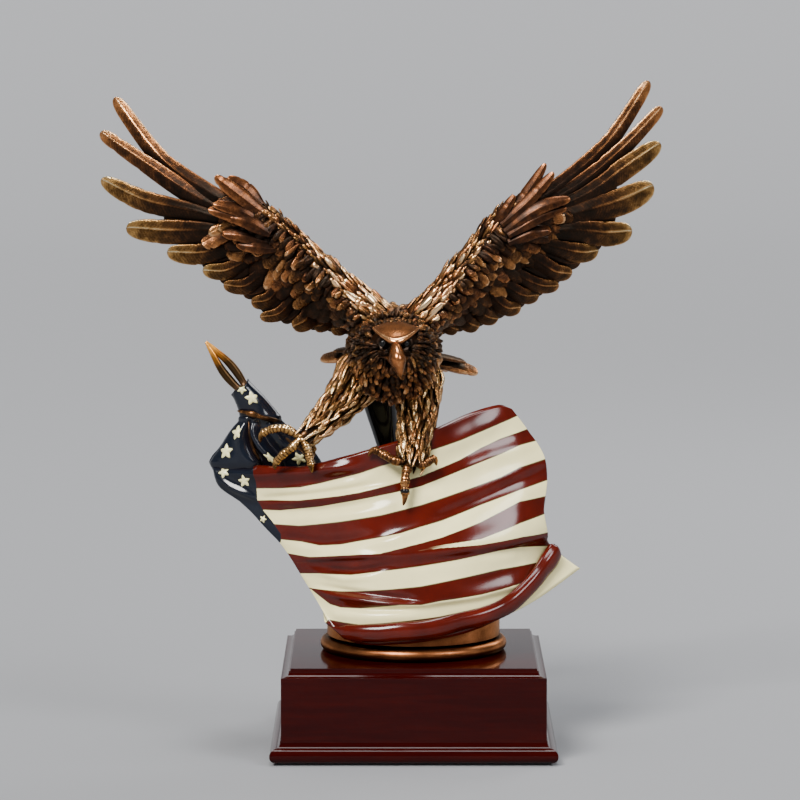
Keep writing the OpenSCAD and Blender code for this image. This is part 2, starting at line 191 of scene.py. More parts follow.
def put_in_scene(name, data):
    made = bpy.data.objects.new(name, data)
    bpy.context.scene.collection.objects.link(made)
    return made


def place(mesh, name, nodes):
    piece = put_in_scene(name, mesh)
    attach(piece, "root")
    if nodes:
        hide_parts(*nodes)
    return piece


def round_tube(skin, path, radius, rows, sides, wear, tint, up=(0, 0, 1), squash=1.0, mark=0,
               bump=None):
    """A tube along a smooth path. radius(t) is in mm; bump(t, angle) scales it."""
    rings, uv = np.zeros((rows, sides, 3)), np.zeros((rows, sides, 2))
    wears = np.zeros((rows, sides))
    up = vec(*up)
    length = 0.0
    last = along(path, 0)
    for i, t in enumerate(shares(rows)):
        c, d = along(path, t), tangent(path, t)
        side = unit(np.cross(d, up))
        top = np.cross(side, d)
        length += np.linalg.norm(c - last)
        last = c
        for k, a in enumerate(turns(sides)):
            r = radius(t) * (bump(t, a) if bump else 1.0)
            rings[i, k] = c + side * cos(a) * r + top * sin(a) * r * squash
            uv[i, k] = (k / sides, length / 10)
            wears[i, k] = wear(t, a) if callable(wear) else wear
    skin.tube(rings, uv, wears, tint, mark)


# ---------------------------------------------------------------- feathers

# Points across the blade, step along it, shaft height, barb groove, raised rim; in mm
FLIGHT = dict(t=[-1, -0.95, -0.82, -0.6, -0.4, -0.25, -0.1, 0, 0.1, 0.25, 0.4, 0.6, 0.82, 0.95],
              step=0.55, shaft=0.5, groove=0.06, rim=0.14)
LEAF = dict(t=[-1, -0.92, -0.7, -0.4, -0.12, 0, 0.12, 0.4, 0.7, 0.92],
            step=0.8, shaft=0.35, groove=0.0, rim=0.22)
COVERT = dict(t=[-1, -0.85, -0.45, -0.12, 0, 0.12, 0.45, 0.85],
              step=0.9, shaft=0.25, groove=0.05, rim=0.16)
SCALE = dict(t=[-1, -0.6, 0, 0.6], step=1.3, shaft=0.25, groove=0.0, rim=0.1)
BARB_PITCH = 2.0
BARB_SLANT = 0.7


def blunt(s):
    """Outline of a feather with a round tip, as a share of its half width."""
    grow = 0.42 + 0.58 * smooth(0.0, 0.38, s)
    end = np.clip((s - 0.5) / 0.5, 0, 1)
    return grow * np.sqrt(np.clip(1 - end ** 3.2, 0.0016, 1))


def slim(s):
    """Outline of a primary feather, which stays wide up to a round tip."""
    grow = 0.6 + 0.4 * smooth(0.0, 0.3, s)
    taper = 1 - 0.3 * smooth(0.45, 1.0, s)
    end = np.clip((s - 0.88) / 0.12, 0, 1)
    return grow * taper * np.sqrt(np.clip(1 - end ** 2.2, 0.0016, 1))


def broad(s):
    """Outline of a primary feather that is widest well out and has a round point."""
    grow = 0.5 + 0.5 * smooth(0.0, 0.62, s)
    end = np.clip((s - 0.6) / 0.4, 0, 1)
    return grow * np.sqrt(np.clip(1 - end ** 2.6, 0.0016, 1))


def leafy(s):
    """Outline of a stiff leaf with a short round point."""
    return (0.5 + 0.5 * smooth(0, 0.4, s)) * np.sqrt(np.clip(1 - s ** 3, 0.004, 1))


def pointed(s):
    """Outline of a hackle, which runs to a point."""
    return (0.45 + 0.55 * smooth(0, 0.3, s)) * np.clip(1 - s ** 2.4, 0.03, 1) ** 0.8


def feather(skin, path, normal, width, thick, kind=COVERT, outline=blunt, shaft_at=0.0, cup=0.12,
            tint=0.0, worn=1.0, ragged=0.0, twist=0.0, lead=0.0, mark=0):
    """A closed blade along a path of points; normal is its outer side. lead rubs one edge."""
    path = [np.asarray(p, float) for p in path]
    length = float(sum(np.linalg.norm(q - p) for p, q in zip(path, path[1:])))
    rows = max(5, int(length / kind["step"]))
    s = np.linspace(0, 1, rows)[:, None]
    centre = np.array([along(path, float(k)) for k in s[:, 0]])
    d = np.gradient(centre, axis=0)
    d /= np.linalg.norm(d, axis=1, keepdims=True)
    out = normal - d * (d @ normal)[:, None]
    out /= np.linalg.norm(out, axis=1, keepdims=True)
    side = np.cross(d, out)
    if twist:
        a = np.radians(twist) * smooth(0.1, 0.9, s)
        side, out = side * np.cos(a) + out * np.sin(a), out * np.cos(a) - side * np.sin(a)
    t = np.array(kind["t"])
    top = np.concatenate([t, [1.0]])
    around = np.concatenate([top, t[:0:-1]])[None, :]
    face = np.concatenate([np.ones(len(top)), -np.ones(len(t) - 1)])
    face[0] = face[len(top) - 1] = 0
    half = outline(s[:, 0]) * width / 2
    if ragged:
        for _ in range(3):
            at = uniform(0.35, 0.85)
            notch = np.clip(1 - np.abs(s[:, 0] - at) / 0.03, 0, 1)
            half = half * (1 - ragged * rng.random() * notch)
    x = around * half[:, None]
    fullness = np.clip(half / (width / 2), 0.25, 1)[:, None]
    body = np.sqrt(np.clip(1 - around ** 2, 0, 1)) * thick / 2 * fullness
    ridge = kind["shaft"] * np.exp(-((around - shaft_at) / 0.09) ** 2) * (1 - 0.5 * s)
    rim = kind["rim"] * np.exp(-((np.abs(around) - 0.88) / 0.1) ** 2) * smooth(0.2, 0.6, s)
    barb = kind["groove"] * np.sin(FULL_TURN * (s * length + np.abs(x) * BARB_SLANT) / BARB_PITCH)
    height = body + (ridge + rim + barb * (1 - np.abs(around) ** 4)) * np.abs(face)[None, :]
    z = height * face[None, :] - cup * half[:, None] * around ** 2
    rings = centre[:, None, :] + side[:, None, :] * x[..., None] + out[:, None, :] * z[..., None]
    uv = np.stack(np.broadcast_arrays(x / 10, s * length / 10), -1)
    edge = np.abs(around) ** 7 * smooth(0.05, 0.5, s)
    shaft_wear = np.exp(-((around - shaft_at) / 0.05) ** 2) * smooth(0.1, 0.6, s)
    wear = 0.17 + 0.17 * smooth(0.15, 0.9, s) + 0.42 * edge + 0.32 * smooth(0.82, 1.0, s)
    if kind is FLIGHT:
        wear = (wear + 0.5 * shaft_wear) * (0.38 + 0.7 * smooth(0.25, 0.8, s))
    wear = wear + abs(lead) * np.clip(around * np.sign(lead), 0, 1) ** 7 * smooth(0.0, 0.3, s)
    root_tint, tip_tint = tint if isinstance(tint, tuple) else (tint, tint)
    tints = np.broadcast_to(root_tint + (tip_tint - root_tint) * smooth(0.45, 0.9, s), x.shape)
    skin.tube(rings, uv, np.clip(wear * worn, 0, 1.15), tints, mark)


def quill(skin, root, tip, n, rise, width, thick, kind=SCALE, outline=pointed, cup=0.3, **more):
    """A feather that arches by rise, in mm, between its root and its tip."""
    path = [root, (root + tip) / 2 + n * rise, tip]
    feather(skin, path, n, width, thick, kind, outline, cup=cup, **more)


def staggered(k, row, count, loose=0.3):
    """The uneven angle of a feather in a ring; every second ring is moved on by half a step."""
    return FULL_TURN * (k + 0.5 * (row % 2) + sway(loose)) / count


# ---------------------------------------------------------------- shader helpers

class Nodes:
    """A short way to wire up a node material."""

    def __init__(self, name):
        self.material = bpy.data.materials.new(name)
        self.material.use_nodes = True
        self.tree = self.material.node_tree
        self.shader = self.tree.nodes["Principled BSDF"]

    def add(self, kind, inputs=None, **settings):
        node = self.tree.nodes.new("ShaderNode" + kind)
        for key, value in settings.items():
            setattr(node, key, value)
        for key, value in (inputs or {}).items():
            self.put(node.inputs[key], value)
        return node

    def put(self, socket, value):
        if isinstance(value, bpy.types.NodeSocket):
            self.tree.links.new(value, socket)
        elif isinstance(value, bpy.types.Node):
            self.tree.links.new(value.outputs[0], socket)
        else:
            socket.default_value = value

    def math(self, operation, a, b=0.0, clamp=False):
        return self.add("Math", {0: a, 1: b}, operation=operation, use_clamp=clamp)

    def plus(self, a, b):
        return self.math("ADD", a, b)

    def times(self, a, b):
        return self.math("MULTIPLY", a, b)

    def around_zero(self, value, spread):
        """A noise value moved to lie around 0, and scaled."""
        return self.times(self.math("SUBTRACT", value, 0.5), spread)

    def uv(self):
        return self.add("SeparateXYZ", {"Vector": self.add("UVMap").outputs[0]}).outputs

    def hollow(self, reach):
        """1 in the open, towards 0 in crevices narrower than reach, in metres."""
        return self.add("AmbientOcclusion", {"Distance": reach}, samples=8).outputs["AO"]

    def attribute(self, name):
        return self.add("Attribute", attribute_name=name).outputs["Fac"]

    def ramp(self, factor, stops):
        node = self.add("ValToRGB", {"Fac": factor})
        band = node.color_ramp
        while len(band.elements) < len(stops):
            band.elements.new(0.5)
        for element, (place_at, colour) in zip(band.elements, stops):
            element.position = place_at
            element.color = (*colour, 1)
        return node

    def span(self, value, low, high):
        return self.add("MapRange", {"Value": value, "To Min": low, "To Max": high})

    def noise(self, scale, detail=4.0, vector=None, rough=0.55):
        inputs = {"Scale": scale, "Detail": detail, "Roughness": rough}
        inputs["Vector"] = vector if vector is not None else self.objects()
        return self.add("TexNoise", inputs).outputs["Fac"]

    def objects(self):
        return self.add("TexCoord").outputs["Object"]

    def mix(self, factor, a, b):
        node = self.add("Mix", data_type="RGBA")
        self.put(node.inputs[0], factor)
        self.put(node.inputs[6], a)
        self.put(node.inputs[7], b)
        return node.outputs[2]

    def bump(self, height, distance, strength=1.0, normal=None):
        inputs = {"Height": height, "Distance": distance, "Strength": strength}
        if normal is not None:
            inputs["Normal"] = normal
        return self.add("Bump", inputs)

    def set(self, **values):
        for key, value in values.items():
            self.put(self.shader.inputs[key.replace("_", " ")], value)
        return self.material


# the metal from its crevices to its rubbed edges: brown patina, and the yellower one of the gilt parts
DARK = [(0.0, (0.004, 0.002, 0.001)), (0.2, (0.022, 0.008, 0.004)), (0.42, (0.105, 0.036, 0.013)),
        (0.7, (0.46, 0.165, 0.055)), (1.0, (1.0, 0.54, 0.25))]
GILT = [(0.0, (0.005, 0.003, 0.001)), (0.2, (0.026, 0.013, 0.004)), (0.42, (0.135, 0.064, 0.017)),
        (0.7, (0.58, 0.32, 0.10)), (1.0, (1.0, 0.82, 0.50))]
# what the metals take on at grazing angles
EDGE_TINT = (0.95, 0.78, 0.62, 1)
CREVICE = 0.006


def bronze(name, barbs=False, lift=0.0):
    """Dark patina, rubbed through to copper on the high spots; barbs adds fine feather lines."""
    n = Nodes(name)
    blotch = n.noise(230, 3)
    speck = n.noise(1400, 2)
    hollow = n.hollow(CREVICE)
    # the point value is rubbed copper showing through, and on the beak it is also painted light and
    # shade
    level = n.plus(n.attribute("wear"), lift)
    level = n.plus(level, n.around_zero(blotch, 0.7))
    level = n.plus(level, n.around_zero(speck, 0.3))
    normal = n.bump(speck, 0.0002, 0.4 if barbs else 0.15)
    if barbs:
        uv = n.uv()
        slant = n.plus(uv[1], n.times(n.math("ABSOLUTE", uv[0]), BARB_SLANT))
        coarse = n.math("SINE", n.times(slant, 20 * pi / BARB_PITCH))
        fine = n.math("SINE", n.times(slant, 60 * pi / BARB_PITCH))
        level = n.plus(level, n.times(coarse, 0.035))
        normal = n.bump(fine, 0.0001, 0.6, normal)
    level = n.math("MULTIPLY", level, n.math("POWER", hollow, 1.9), clamp=True)
    tones = [n.ramp(level, stops) for stops in (DARK, GILT)]
    colour = n.mix(n.attribute("tint"), *tones)
    rough = n.span(n.plus(level, n.times(speck, 0.3)), 0.38, 0.18)
    return n.set(Base_Color=colour, Metallic=n.span(level, 0.7, 1.0), Roughness=rough,
                 Normal=normal, Specular_Tint=EDGE_TINT, Coat_Weight=0.03, Coat_Roughness=0.1)


def copper():
    """Satin antiqued copper of the pedestal, turned and slightly stained."""
    n = Nodes("copper")
    cloud = n.noise(70, 4)
    speck = n.noise(1500, 2)
    hollow = n.hollow(CREVICE)
    level = n.plus(n.times(cloud, 0.8), n.times(speck, 0.2))
    level = n.math("MULTIPLY", level, n.math("POWER", hollow, 1.5), clamp=True)
    colour = n.ramp(level, [(0.0, (0.02, 0.007, 0.003)), (0.35, (0.17, 0.056, 0.020)),
                            (0.6, (0.44, 0.16, 0.058)), (1.0, (0.78, 0.35, 0.15))])
    return n.set(Base_Color=colour, Metallic=1.0, Roughness=n.span(cloud, 0.42, 0.26),
                 Specular_Tint=EDGE_TINT, Normal=n.bump(speck, 0.0001, 0.4))


def golden():
    """Bright gilt at the point of the finial that darkens to brown at its foot."""
    n = Nodes("golden")
    uv = n.uv()
    cloud = n.noise(300, 3)
    level = n.plus(uv[1], n.around_zero(cloud, 0.25))
    colour = n.ramp(level, [(0.0, (0.14, 0.075, 0.038)), (0.14, (0.055, 0.03, 0.013)),
                            (0.5, (0.05, 0.025, 0.008)), (0.7, (0.38, 0.14, 0.02)),
                            (0.88, (1.0, 0.44, 0.07))])
    return n.set(Base_Color=colour, Metallic=0.9, Roughness=n.span(cloud, 0.4, 0.26),
                 Specular_Tint=EDGE_TINT, Normal=n.bump(n.noise(1200, 2), 0.0001, 0.4))


def lacquered_wood(name, grain_axis):
    """Dark red mahogany under gloss lacquer; the grain runs along the given axis."""
    n = Nodes(name)
    stretch = [34.0, 34.0, 34.0]
    stretch[grain_axis] = 2.2
    where = n.add("Mapping", {"Vector": n.objects(), "Scale": stretch})
    fibre = n.noise(9, 6, where, 0.65)
    cloud = n.noise(1.6, 3, where)
    level = n.plus(n.times(fibre, 0.7), n.times(cloud, 0.4))
    colour = n.ramp(level, [(0.3, (0.012, 0.0, 0.0)), (0.5, (0.018, 0.0001, 0.0)),
                            (0.68, (0.028, 0.0007, 0.0001)), (0.9, (0.05, 0.0035, 0.0006))])
    return n.set(Base_Color=colour, Roughness=n.span(fibre, 0.5, 0.4),
                 Specular_IOR_Level=0.0, Normal=n.bump(fibre, 0.0001, 0.1),
                 Coat_Weight=1.0, Coat_Roughness=0.1, Coat_IOR=1.25)


def paint(name, speckle, stops, rough=None, bump=None, **more):
    """A finish with the colours and gloss of one noise; bump is depth, strength and its own noise."""
    n = Nodes(name)
    cloud = n.noise(*speckle)
    if rough:
        more["Roughness"] = n.span(cloud, *rough)
    if bump:
        more["Normal"] = n.bump(n.noise(*bump[2:]) if bump[2:] else cloud, *bump[:2])
    return n.set(Base_Color=n.ramp(cloud, stops), **more)


def gloss_black(name, tone):
    stops = [(0.3, (tone, tone, tone)), (0.8, (tone * 2.5, tone * 2.4, tone * 2.6))]
    return paint(name, (90, 3), stops, (0.2, 0.12), (0.0001, 0.15, 400, 2),
                 Specular_IOR_Level=0.0, Coat_Weight=0.6, Coat_Roughness=0.09)


# flag paints, the line drawn between stripes and its width as a share of a stripe, and the painted
# shade laid in the creases
RED = (0.070, 0.0042, 0.0010)
CREAM = (0.98, 0.88, 0.45)
NAVY = (0.0034, 0.005, 0.0095)
OLIVE = (0.055, 0.035, 0.012)
CREASE_SHADE = (0.018, 0.006, 0.002)
LINE = 0.045


def shade(colour, share):
    return tuple(min(1, c * share) for c in colour)


def stripes(name):
    """Enamel stripes: UV y counts the stripes, and even ones are red. UV x under 0 is navy."""
    n = Nodes(name)
    uv = n.uv()
    cloud = n.noise(55, 3)
    fine = n.noise(700, 2)
    hollow = n.hollow(0.007)
    half_turn = n.math("FRACT", n.times(uv[1], 0.5))
    is_cream = n.math("GREATER_THAN", half_turn, 0.5)
    red = n.ramp(cloud, [(0.3, shade(RED, 0.75)), (0.75, shade(RED, 1.35))])
    cream = n.ramp(cloud, [(0.25, shade(CREAM, 0.88)), (0.7, CREAM)])
    colour = n.mix(is_cream, red, cream)
    edge = n.math("ABSOLUTE", n.math("SUBTRACT", n.math("FRACT", uv[1]), 0.5))
    drawn = n.math("GREATER_THAN", n.plus(edge, n.times(fine, 0.012)), 0.5 - LINE / 2)
    colour = n.mix(n.times(drawn, 0.85), colour, (*OLIVE, 1))
    navy = n.ramp(cloud, [(0.3, NAVY), (0.8, shade(NAVY, 1.9))])
    colour = n.mix(n.math("LESS_THAN", uv[0], 0.0), colour, navy)
    colour = n.mix(n.attribute("tint"), colour, red)
    # the cloth is painted darker in its creases: painted shade
    unshaded = n.math("POWER", hollow, 0.4)
    colour = n.mix(n.math("SUBTRACT", 1.0, unshaded), colour, (*CREASE_SHADE, 1))
    return n.set(Base_Color=colour, Roughness=n.span(cloud, 0.34, 0.24), Specular_IOR_Level=0.0,
                 Normal=n.bump(n.noise(160, 3), 0.0003, 0.12), Coat_Weight=0.75, Coat_Roughness=0.15)


def enamel(name, colour):
    return paint(name, (300, 3), [(0.3, shade(colour, 0.8)), (0.8, shade(colour, 1.1))], (0.3, 0.2),
                 (0.0001, 0.3), Coat_Weight=0.5, Coat_Roughness=0.1)


def felt():
    return paint("felt", (2600, 4), [(0.3, (0.004, 0.004, 0.005)), (0.7, (0.03, 0.03, 0.033))],
                 bump=(0.0004, 0.6), Roughness=0.95, Sheen_Weight=0.4)


def zinc():
    return paint("zinc", (900, 3), [(0.3, (0.42, 0.42, 0.42)), (0.7, (0.62, 0.61, 0.6))], (0.4, 0.25),
                 Metallic=1.0)


def bare_wood():
    n = Nodes("bare_wood")
    where = n.add("Mapping", {"Vector": n.objects(), "Scale": (3.0, 40.0, 40.0)})
    fibre = n.noise(8, 6, where)
    colour = n.ramp(fibre, [(0.3, (0.33, 0.2, 0.1)), (0.7, (0.55, 0.38, 0.22))])
    return n.set(Base_Color=colour, Roughness=0.8, Normal=n.bump(fibre, 0.0003, 0.3))


PLUMAGE = bronze("plumage", barbs=True)
POLISHED = bronze("bronze_polished", lift=0.14)
COPPER = copper()
GOLDEN = golden()
STRIPED = stripes("flag_enamel")
STAR_PAINT = enamel("star_enamel", CREAM)
GLOSS = gloss_black("gloss_black", 0.004)
EYE = gloss_black("eye_black", 0.002)


# ---------------------------------------------------------------- eagle: wings

RIGHT_ARM = [(-18, 4, 190), (-32, 5, 202), (-48, 6, 217), (-64, 7, 232), (-79, 7, 246), (-91, 8, 256)]
LEFT_ARM = [(2, 4, 190), (13, 5, 201), (27, 6, 219), (38, 7, 233), (48, 8, 246), (58, 8, 256)]
ARM_RADII = [10, 8, 6.8, 6, 5.6, 4.4]
# flight feathers from the hand inwards: root, two points between, tip, then the width
RIGHT_FLIGHT = [
    [(-92, 9, 249), (-121, 10, 265), (-147, 17, 284), (-173, 24, 318), 12.4],
    [(-92, 10, 246), (-124, 11, 260), (-156, 16, 281), (-181, 21, 298), 11.6],
    [(-92, 11, 243), (-125, 11, 252), (-156, 14, 259), (-180.5, 18, 271), 13.5],
    [(-90, 12, 238), (-118, 11, 241), (-143, 13, 241), (-166, 15, 243), 15],
    [(-86, 12, 233), (-108, 12, 231), (-125, 13, 228), (-142.5, 15, 229), 13],
    [(-80, 12, 232), (-96, 12, 224), (-109, 14, 218), (-122, 16, 218.5), 11.5],
    [(-73, 12, 225), (-87, 12, 216), (-98, 15, 209), (-110, 17, 210), 10.5],
    [(-66, 12, 220), (-76, 13, 209), (-84, 16, 201), (-94, 18, 199.5), 11],
    [(-59, 12, 213), (-69, 14, 202), (-78, 16, 193), (-89, 19, 191), 9],
    [(-52, 12, 210), (-58, 15, 197), (-62, 17, 189), (-70, 20, 185), 12.5],
    [(-45, 12, 205), (-49, 15, 194), (-52, 18, 187), (-58, 21, 185), 10],
    [(-38, 12, 200), (-40, 15, 191), (-42, 18, 185), (-48, 21, 183.5), 10],
    [(-30, 12, 196), (-32, 15, 188), (-34, 18, 184), (-39, 21, 182), 9]]
LEFT_FLIGHT = [
    [(58, 9, 250), (88, 15, 270), (114, 27, 293), (137, 38, 327), 11.6],
    [(58, 10, 248), (93, 16, 266), (121, 26, 288), (144.5, 35, 312), 11],
    [(60, 10, 247), (98, 16, 261), (124, 24, 278), (143.5, 32, 291), 13.5],
    [(60, 11, 243), (95, 16, 251), (121, 23, 258), (139.5, 30, 266.5), 16.5],
    [(60, 12, 240), (92, 16, 241), (112, 22, 239), (127, 28, 240), 15.5],
    [(56, 12, 238), (80, 16, 232), (97, 21, 228), (107.5, 27, 229), 13],
    [(50, 12, 232), (70, 16, 224), (82, 21, 217), (92, 26, 215.5), 12],
    [(45, 12, 226), (61, 16, 215), (74, 21, 209), (84.5, 26, 208.5), 10],
    [(40, 12, 221), (54, 16, 209), (64, 21, 203), (73, 26, 203), 11],
    [(33, 12, 215), (45, 16, 203), (54, 20, 196), (62.5, 25, 196), 10.5],
    [(26, 12, 209), (36, 16, 197), (42, 20, 191), (49, 25, 189), 10.5],
    [(19, 12, 203), (27, 16, 193), (32, 20, 187), (38, 24, 184.5), 11],
    [(13, 12, 197), (18, 16, 190), (21, 20, 185), (26, 23, 183), 10],
    [(8, 12, 192), (11, 16, 187), (13, 20, 183), (17, 23, 181), 9]]
# stiff leaves at the wrist, in front of the hand
RIGHT_LEAVES = [
    [(-84, 2, 251), (-101, 1, 264), (-114, 0, 274), 8.5],
    [(-87, 5, 257), (-97, 5, 267), (-107, 5, 273), 8],
    [(-88, 1, 248), (-101, 0, 255), (-115, 0, 258), 8],
    [(-86, 0, 243), (-101, 0, 251), (-118, 1, 255), 8.5],
    [(-82, -1, 241), (-96, -1, 249), (-108, 0, 251), 9],
    [(-84, 2, 236), (-98, 1, 240), (-110, 2, 241), 8],
    [(-79, 1, 232), (-92, 0, 234), (-102, 2, 235), 8]]
LEFT_LEAVES = [
    [(50, 3, 247), (64, 4, 263), (76, 6, 281), 6.5],
    [(50, 1, 246), (66, 2, 260), (80.5, 3, 276), 7.5],
    [(46, 2, 245), (52, 2, 254), (58, 3, 263), 6],
    [(52, 0, 242), (72, 0, 256), (90, 2, 261), 8],
    [(54, -1, 240), (72, 0, 251), (88, 2, 256), 7.5],
    [(54, 0, 236), (68, 0, 242), (79, 3, 243), 8]]
# how far along its neighbours each feather behind the gaps reaches, from the hand inwards
FILL_SHARE = [0.58, 0.44, 0.6, 0.68, 0.78, 0.88]
# rows of small feathers: start and end as shares of the chord, width, gap, height, kind, wear
COVERT_ROWS = [(0.30, 0.70, 12.5, 6.6, 0.4, COVERT, 0.95), (0.20, 0.52, 10.5, 5.4, 1.0, COVERT, 0.85),
               (0.13, 0.40, 9.0, 4.8, 1.7, COVERT, 0.85), (0.06, 0.29, 7.6, 4.4, 2.2, COVERT, 0.85),
               (0.0, 0.19, 6.2, 3.8, 2.5, SCALE, 1.0), (-0.05, 0.12, 5.6, 3.6, 2.6, SCALE, 1.1)]
# how far down the chord the solid part of a wing reaches, and its least half thickness in mm
CORE_SHARE, THINNEST = 0.6, 0.7


class Wing:
    """A wing: a runs from the wrist at 0 to the shoulder at 1, c down the chord in mm."""

    def __init__(self, arm, flight, leaves, skin):
        self.arm, self.flight, self.leaves, self.skin = arm, flight, leaves, skin
        self.tips = [row[3] for row in flight[4:]]
        self.left = flight[0][3][0] > 0

    def bone(self, a):
        return along(self.arm, 1 - a)

    def radius(self, a):
        return float(along(ARM_RADII, 1 - a))

    def chord(self, a):
        v = along(self.tips, a) - self.bone(a)
        return unit(v), float(np.linalg.norm(v))

    def front(self, a):
        d = self.chord(a)[0]
        n = unit(np.cross(d, tangent(self.arm, 1 - a)))
        return n if n[1] < 0 else -n

    def thickness(self, a, c):
        r = self.radius(a)
        reach = self.chord(a)[1] * CORE_SHARE
        t = min(1.0, max(0.0, (c + r) / (reach + r)))
        return THINNEST + r * 2.5 * sqrt(t) * (1 - t)

    def on(self, a, c, face, lift=0.0):
        d = self.chord(a)[0]
        return self.bone(a) + d * c + self.front(a) * face * (self.thickness(a, c) + lift)

    def core(self):
        rings = []
        for a in shares(46):
            r = self.radius(a)
            reach = self.chord(a)[1] * CORE_SHARE
            spots = [(-r + (reach + r) * t ** 1.5, 1 if t else 0.01) for t in shares(12)]
            rings.append([self.on(a, c, face) for c, face in spots]
                         + [self.on(a, c, -face) for c, face in spots[::-1]])
        self.skin.tube(np.array(rings), (0, 0), 0.3, 0.2)

    def flight_feathers(self):
        """The long feathers, then shorter ones behind that close the gaps between them."""
        lean = 1 if self.left else -1
        for i, (root, p, q, tip, width) in enumerate(self.flight):
            root, p, q, tip = vec(*root), vec(*p), vec(*q), vec(*tip)
            n = turn(vec(0, -1, 0), unit(tip - root), lean * (13 if i < 5 else 21))
            gold = (0.1, 0.2) if i < 2 else ((0.25, 1.0) if i < 6 else (0.1, 0.55))
            outline = slim if i < 2 else (broad if i < 6 else blunt)
            feather(self.skin, [root, p, q, tip], n, width, 2.2, FLIGHT, outline,
                    shaft_at=-0.25 * lean, cup=0.05, tint=gold, worn=1.0 if i < 6 else 0.85, ragged=0.1,
                    twist=lean * sway(4), lead=-lean * (0.45 if i < 2 else 0.12))
            if i + 1 == len(self.flight):
                break
            share = FILL_SHARE[min(i, len(FILL_SHARE) - 1)]
            rows = [vec(*x) for x in self.flight[i + 1][:4]]
            middle = [(u + v) / 2 + vec(0, 2.2, 0) for u, v in zip((root, p, q, tip), rows)]
            ends = [along(middle, share * k / 3) for k in range(4)]
            feather(self.skin, ends, n, width * 0.95, 2.2, FLIGHT, blunt, cup=0.08,
                    tint=0.1, worn=0.5, ragged=0.1)

    def cover_row(self, face, start, stop, width, gap, lift, kind, worn):
        """One row of small feathers from start to stop, both shares of the chord."""
        span = float(sum(np.linalg.norm(vec(*q) - vec(*p)) for p, q in zip(self.arm, self.arm[1:])))
        count = int(span / gap)
        shift = uniform(0, 1)
        for i in range(count + 1):
            a = (i + shift + sway(0.3)) / count
            if not 0 <= a <= 1:
                continue
            d, reach = self.chord(a)
            c0 = start * reach
            c1 = (stop + sway(0.05)) * reach
            root = self.on(a, c0, face, lift - 1.4)
            tip = self.on(a, c1, face, lift + uniform(-0.1, 1.2))
            n = turn(self.front(a) * face, d, sway(24))
            tip = tip + tangent(self.arm, 1 - a) * sway(2.5)
            quill(self.skin, root, tip, n, uniform(0.1, 0.9), width * uniform(0.7, 1.15), 1.3, kind,
                  leafy if rng.random() < 0.6 else blunt, ragged=0.2,
                  tint=uniform(0, 0.4), worn=worn * rng.choice((0.5, 0.8, 1.1, 1.6, 2.2)))

    def coverts(self):
        for face in (1, -1):
            for row in COVERT_ROWS:
                self.cover_row(face, *row)

    def marginals(self):
        """Small rubbed scales that wrap the leading edge and point along the arm."""
        for ring in range(46):
            a = 0.98 * ring / 45
            r = self.radius(a) + 0.2
            d = self.chord(a)[0]
            n0 = self.front(a)
            out = tangent(self.arm, 1 - a)
            for k in range(9):
                angle = radians(-105 + 26 * k + sway(13) + 13 * (ring % 2))
                n = -d * cos(angle) + n0 * sin(angle)
                root = self.bone(a) + n * (r - 0.7)
                tip = root + out * uniform(4, 9) * (1 + 0.9 * a * a)
                tip = tip + n * uniform(0.1, 1.7) + d * uniform(-1.5, 2.5)
                width = uniform(2.2, 4.4) * (1 + 0.4 * a * a)
                quill(self.skin, root, tip, n, 0.4, width, 1.2, SCALE,
                      pointed if rng.random() < 0.5 else blunt, cup=0.25, tint=uniform(0, 0.7),
                      worn=uniform(0.7, 3.2) * (0.5 + 0.9 * a + 0.4 * a ** 3), mark=rng.randint(0, 1))

    def hand(self):
        lean = 1 if self.left else -1
        for i, (*path, width) in enumerate(self.leaves):
            d = unit(vec(*path[-1]) - vec(*path[0]))
            n = turn(unit(vec(0, -1, 0.25)), d, lean * -10)
            feather(self.skin, path, n, width * 1.2, 2.2, LEAF, leafy, shaft_at=0.1 * lean, cup=0.12,
                    tint=0.0, worn=(0.7 if self.left else 0.95) - 0.05 * i, ragged=0.15, mark=1)
        for face, row in ((-1, 0), (-1, 1), (-1, 2), (1, 1)):
            for i in range(7):
                f = i / 6
                pick = self.flight[min(5, int(f * 5))]
                base, end = vec(*pick[0]), vec(*pick[1])
                d = unit(end - base)
                n = vec(0, -face, 0)
                root = base + d * (9 * (2 - row) - 4) + vec(sway(2), 0, 4 * (0.5 - (f * 5) % 1))
                root = root + n * (2.5 + row * 0.9)
                tip = root + turn(d, n, sway(9)) * uniform(15, 19) + n * uniform(-0.5, 1)
                quill(self.skin, root, tip, n, 1.2, uniform(7, 9), 2.2, COVERT, blunt,
                      cup=0.25, tint=0.1, worn=uniform(0.5, 0.75))


def build_wing(name, arm, flight, leaves):
    wing = Wing(arm, flight, leaves, Skin())
    wing.core()
    wing.flight_feathers()
    wing.skin.build(name, [PLUMAGE, POLISHED], [name], "bronze")
    wing.skin = Skin()
    wing.coverts()
    wing.marginals()
    wing.hand()
    wing.skin.build(name + "_coverts", [PLUMAGE, POLISHED], [name], "bronze")


# ---------------------------------------------------------------- eagle: body

# place along the body, centre x and z, half width and half height
TORSO = [(-46, -12, 176, 13, 13), (-36, -12, 175, 18.5, 18.5), (-22, -12, 173.5, 22.5, 22.5),
         (-6, -12, 171.5, 25, 25), (12, -11, 172, 24, 24), (30, -10, 170.5, 20, 18),
         (45, -9, 169, 14.5, 12), (60, -8, 166, 10, 7)]
FIRST_Y, LAST_Y = TORSO[0][0], TORSO[-1][0]
# mm between the rows of body feathers, and between the feathers of a row
ROW_GAP, FEATHER_GAP = 4.6, 5.0


def on_torso(y, angle, lift=0.0):
    """A point on the body's skin and its outward normal; angle 0 is +X and 90 is up."""
    ys = [row[0] for row in TORSO]
    x, z, rx, rz = [float(np.interp(y, ys, [row[i] for row in TORSO])) for i in (1, 2, 3, 4)]
    c, s = cos(angle), sin(angle)
    n = unit(vec(c / rx, 0, s / rz))
    return vec(x + rx * c, y, z + rz * s) + n * lift, n


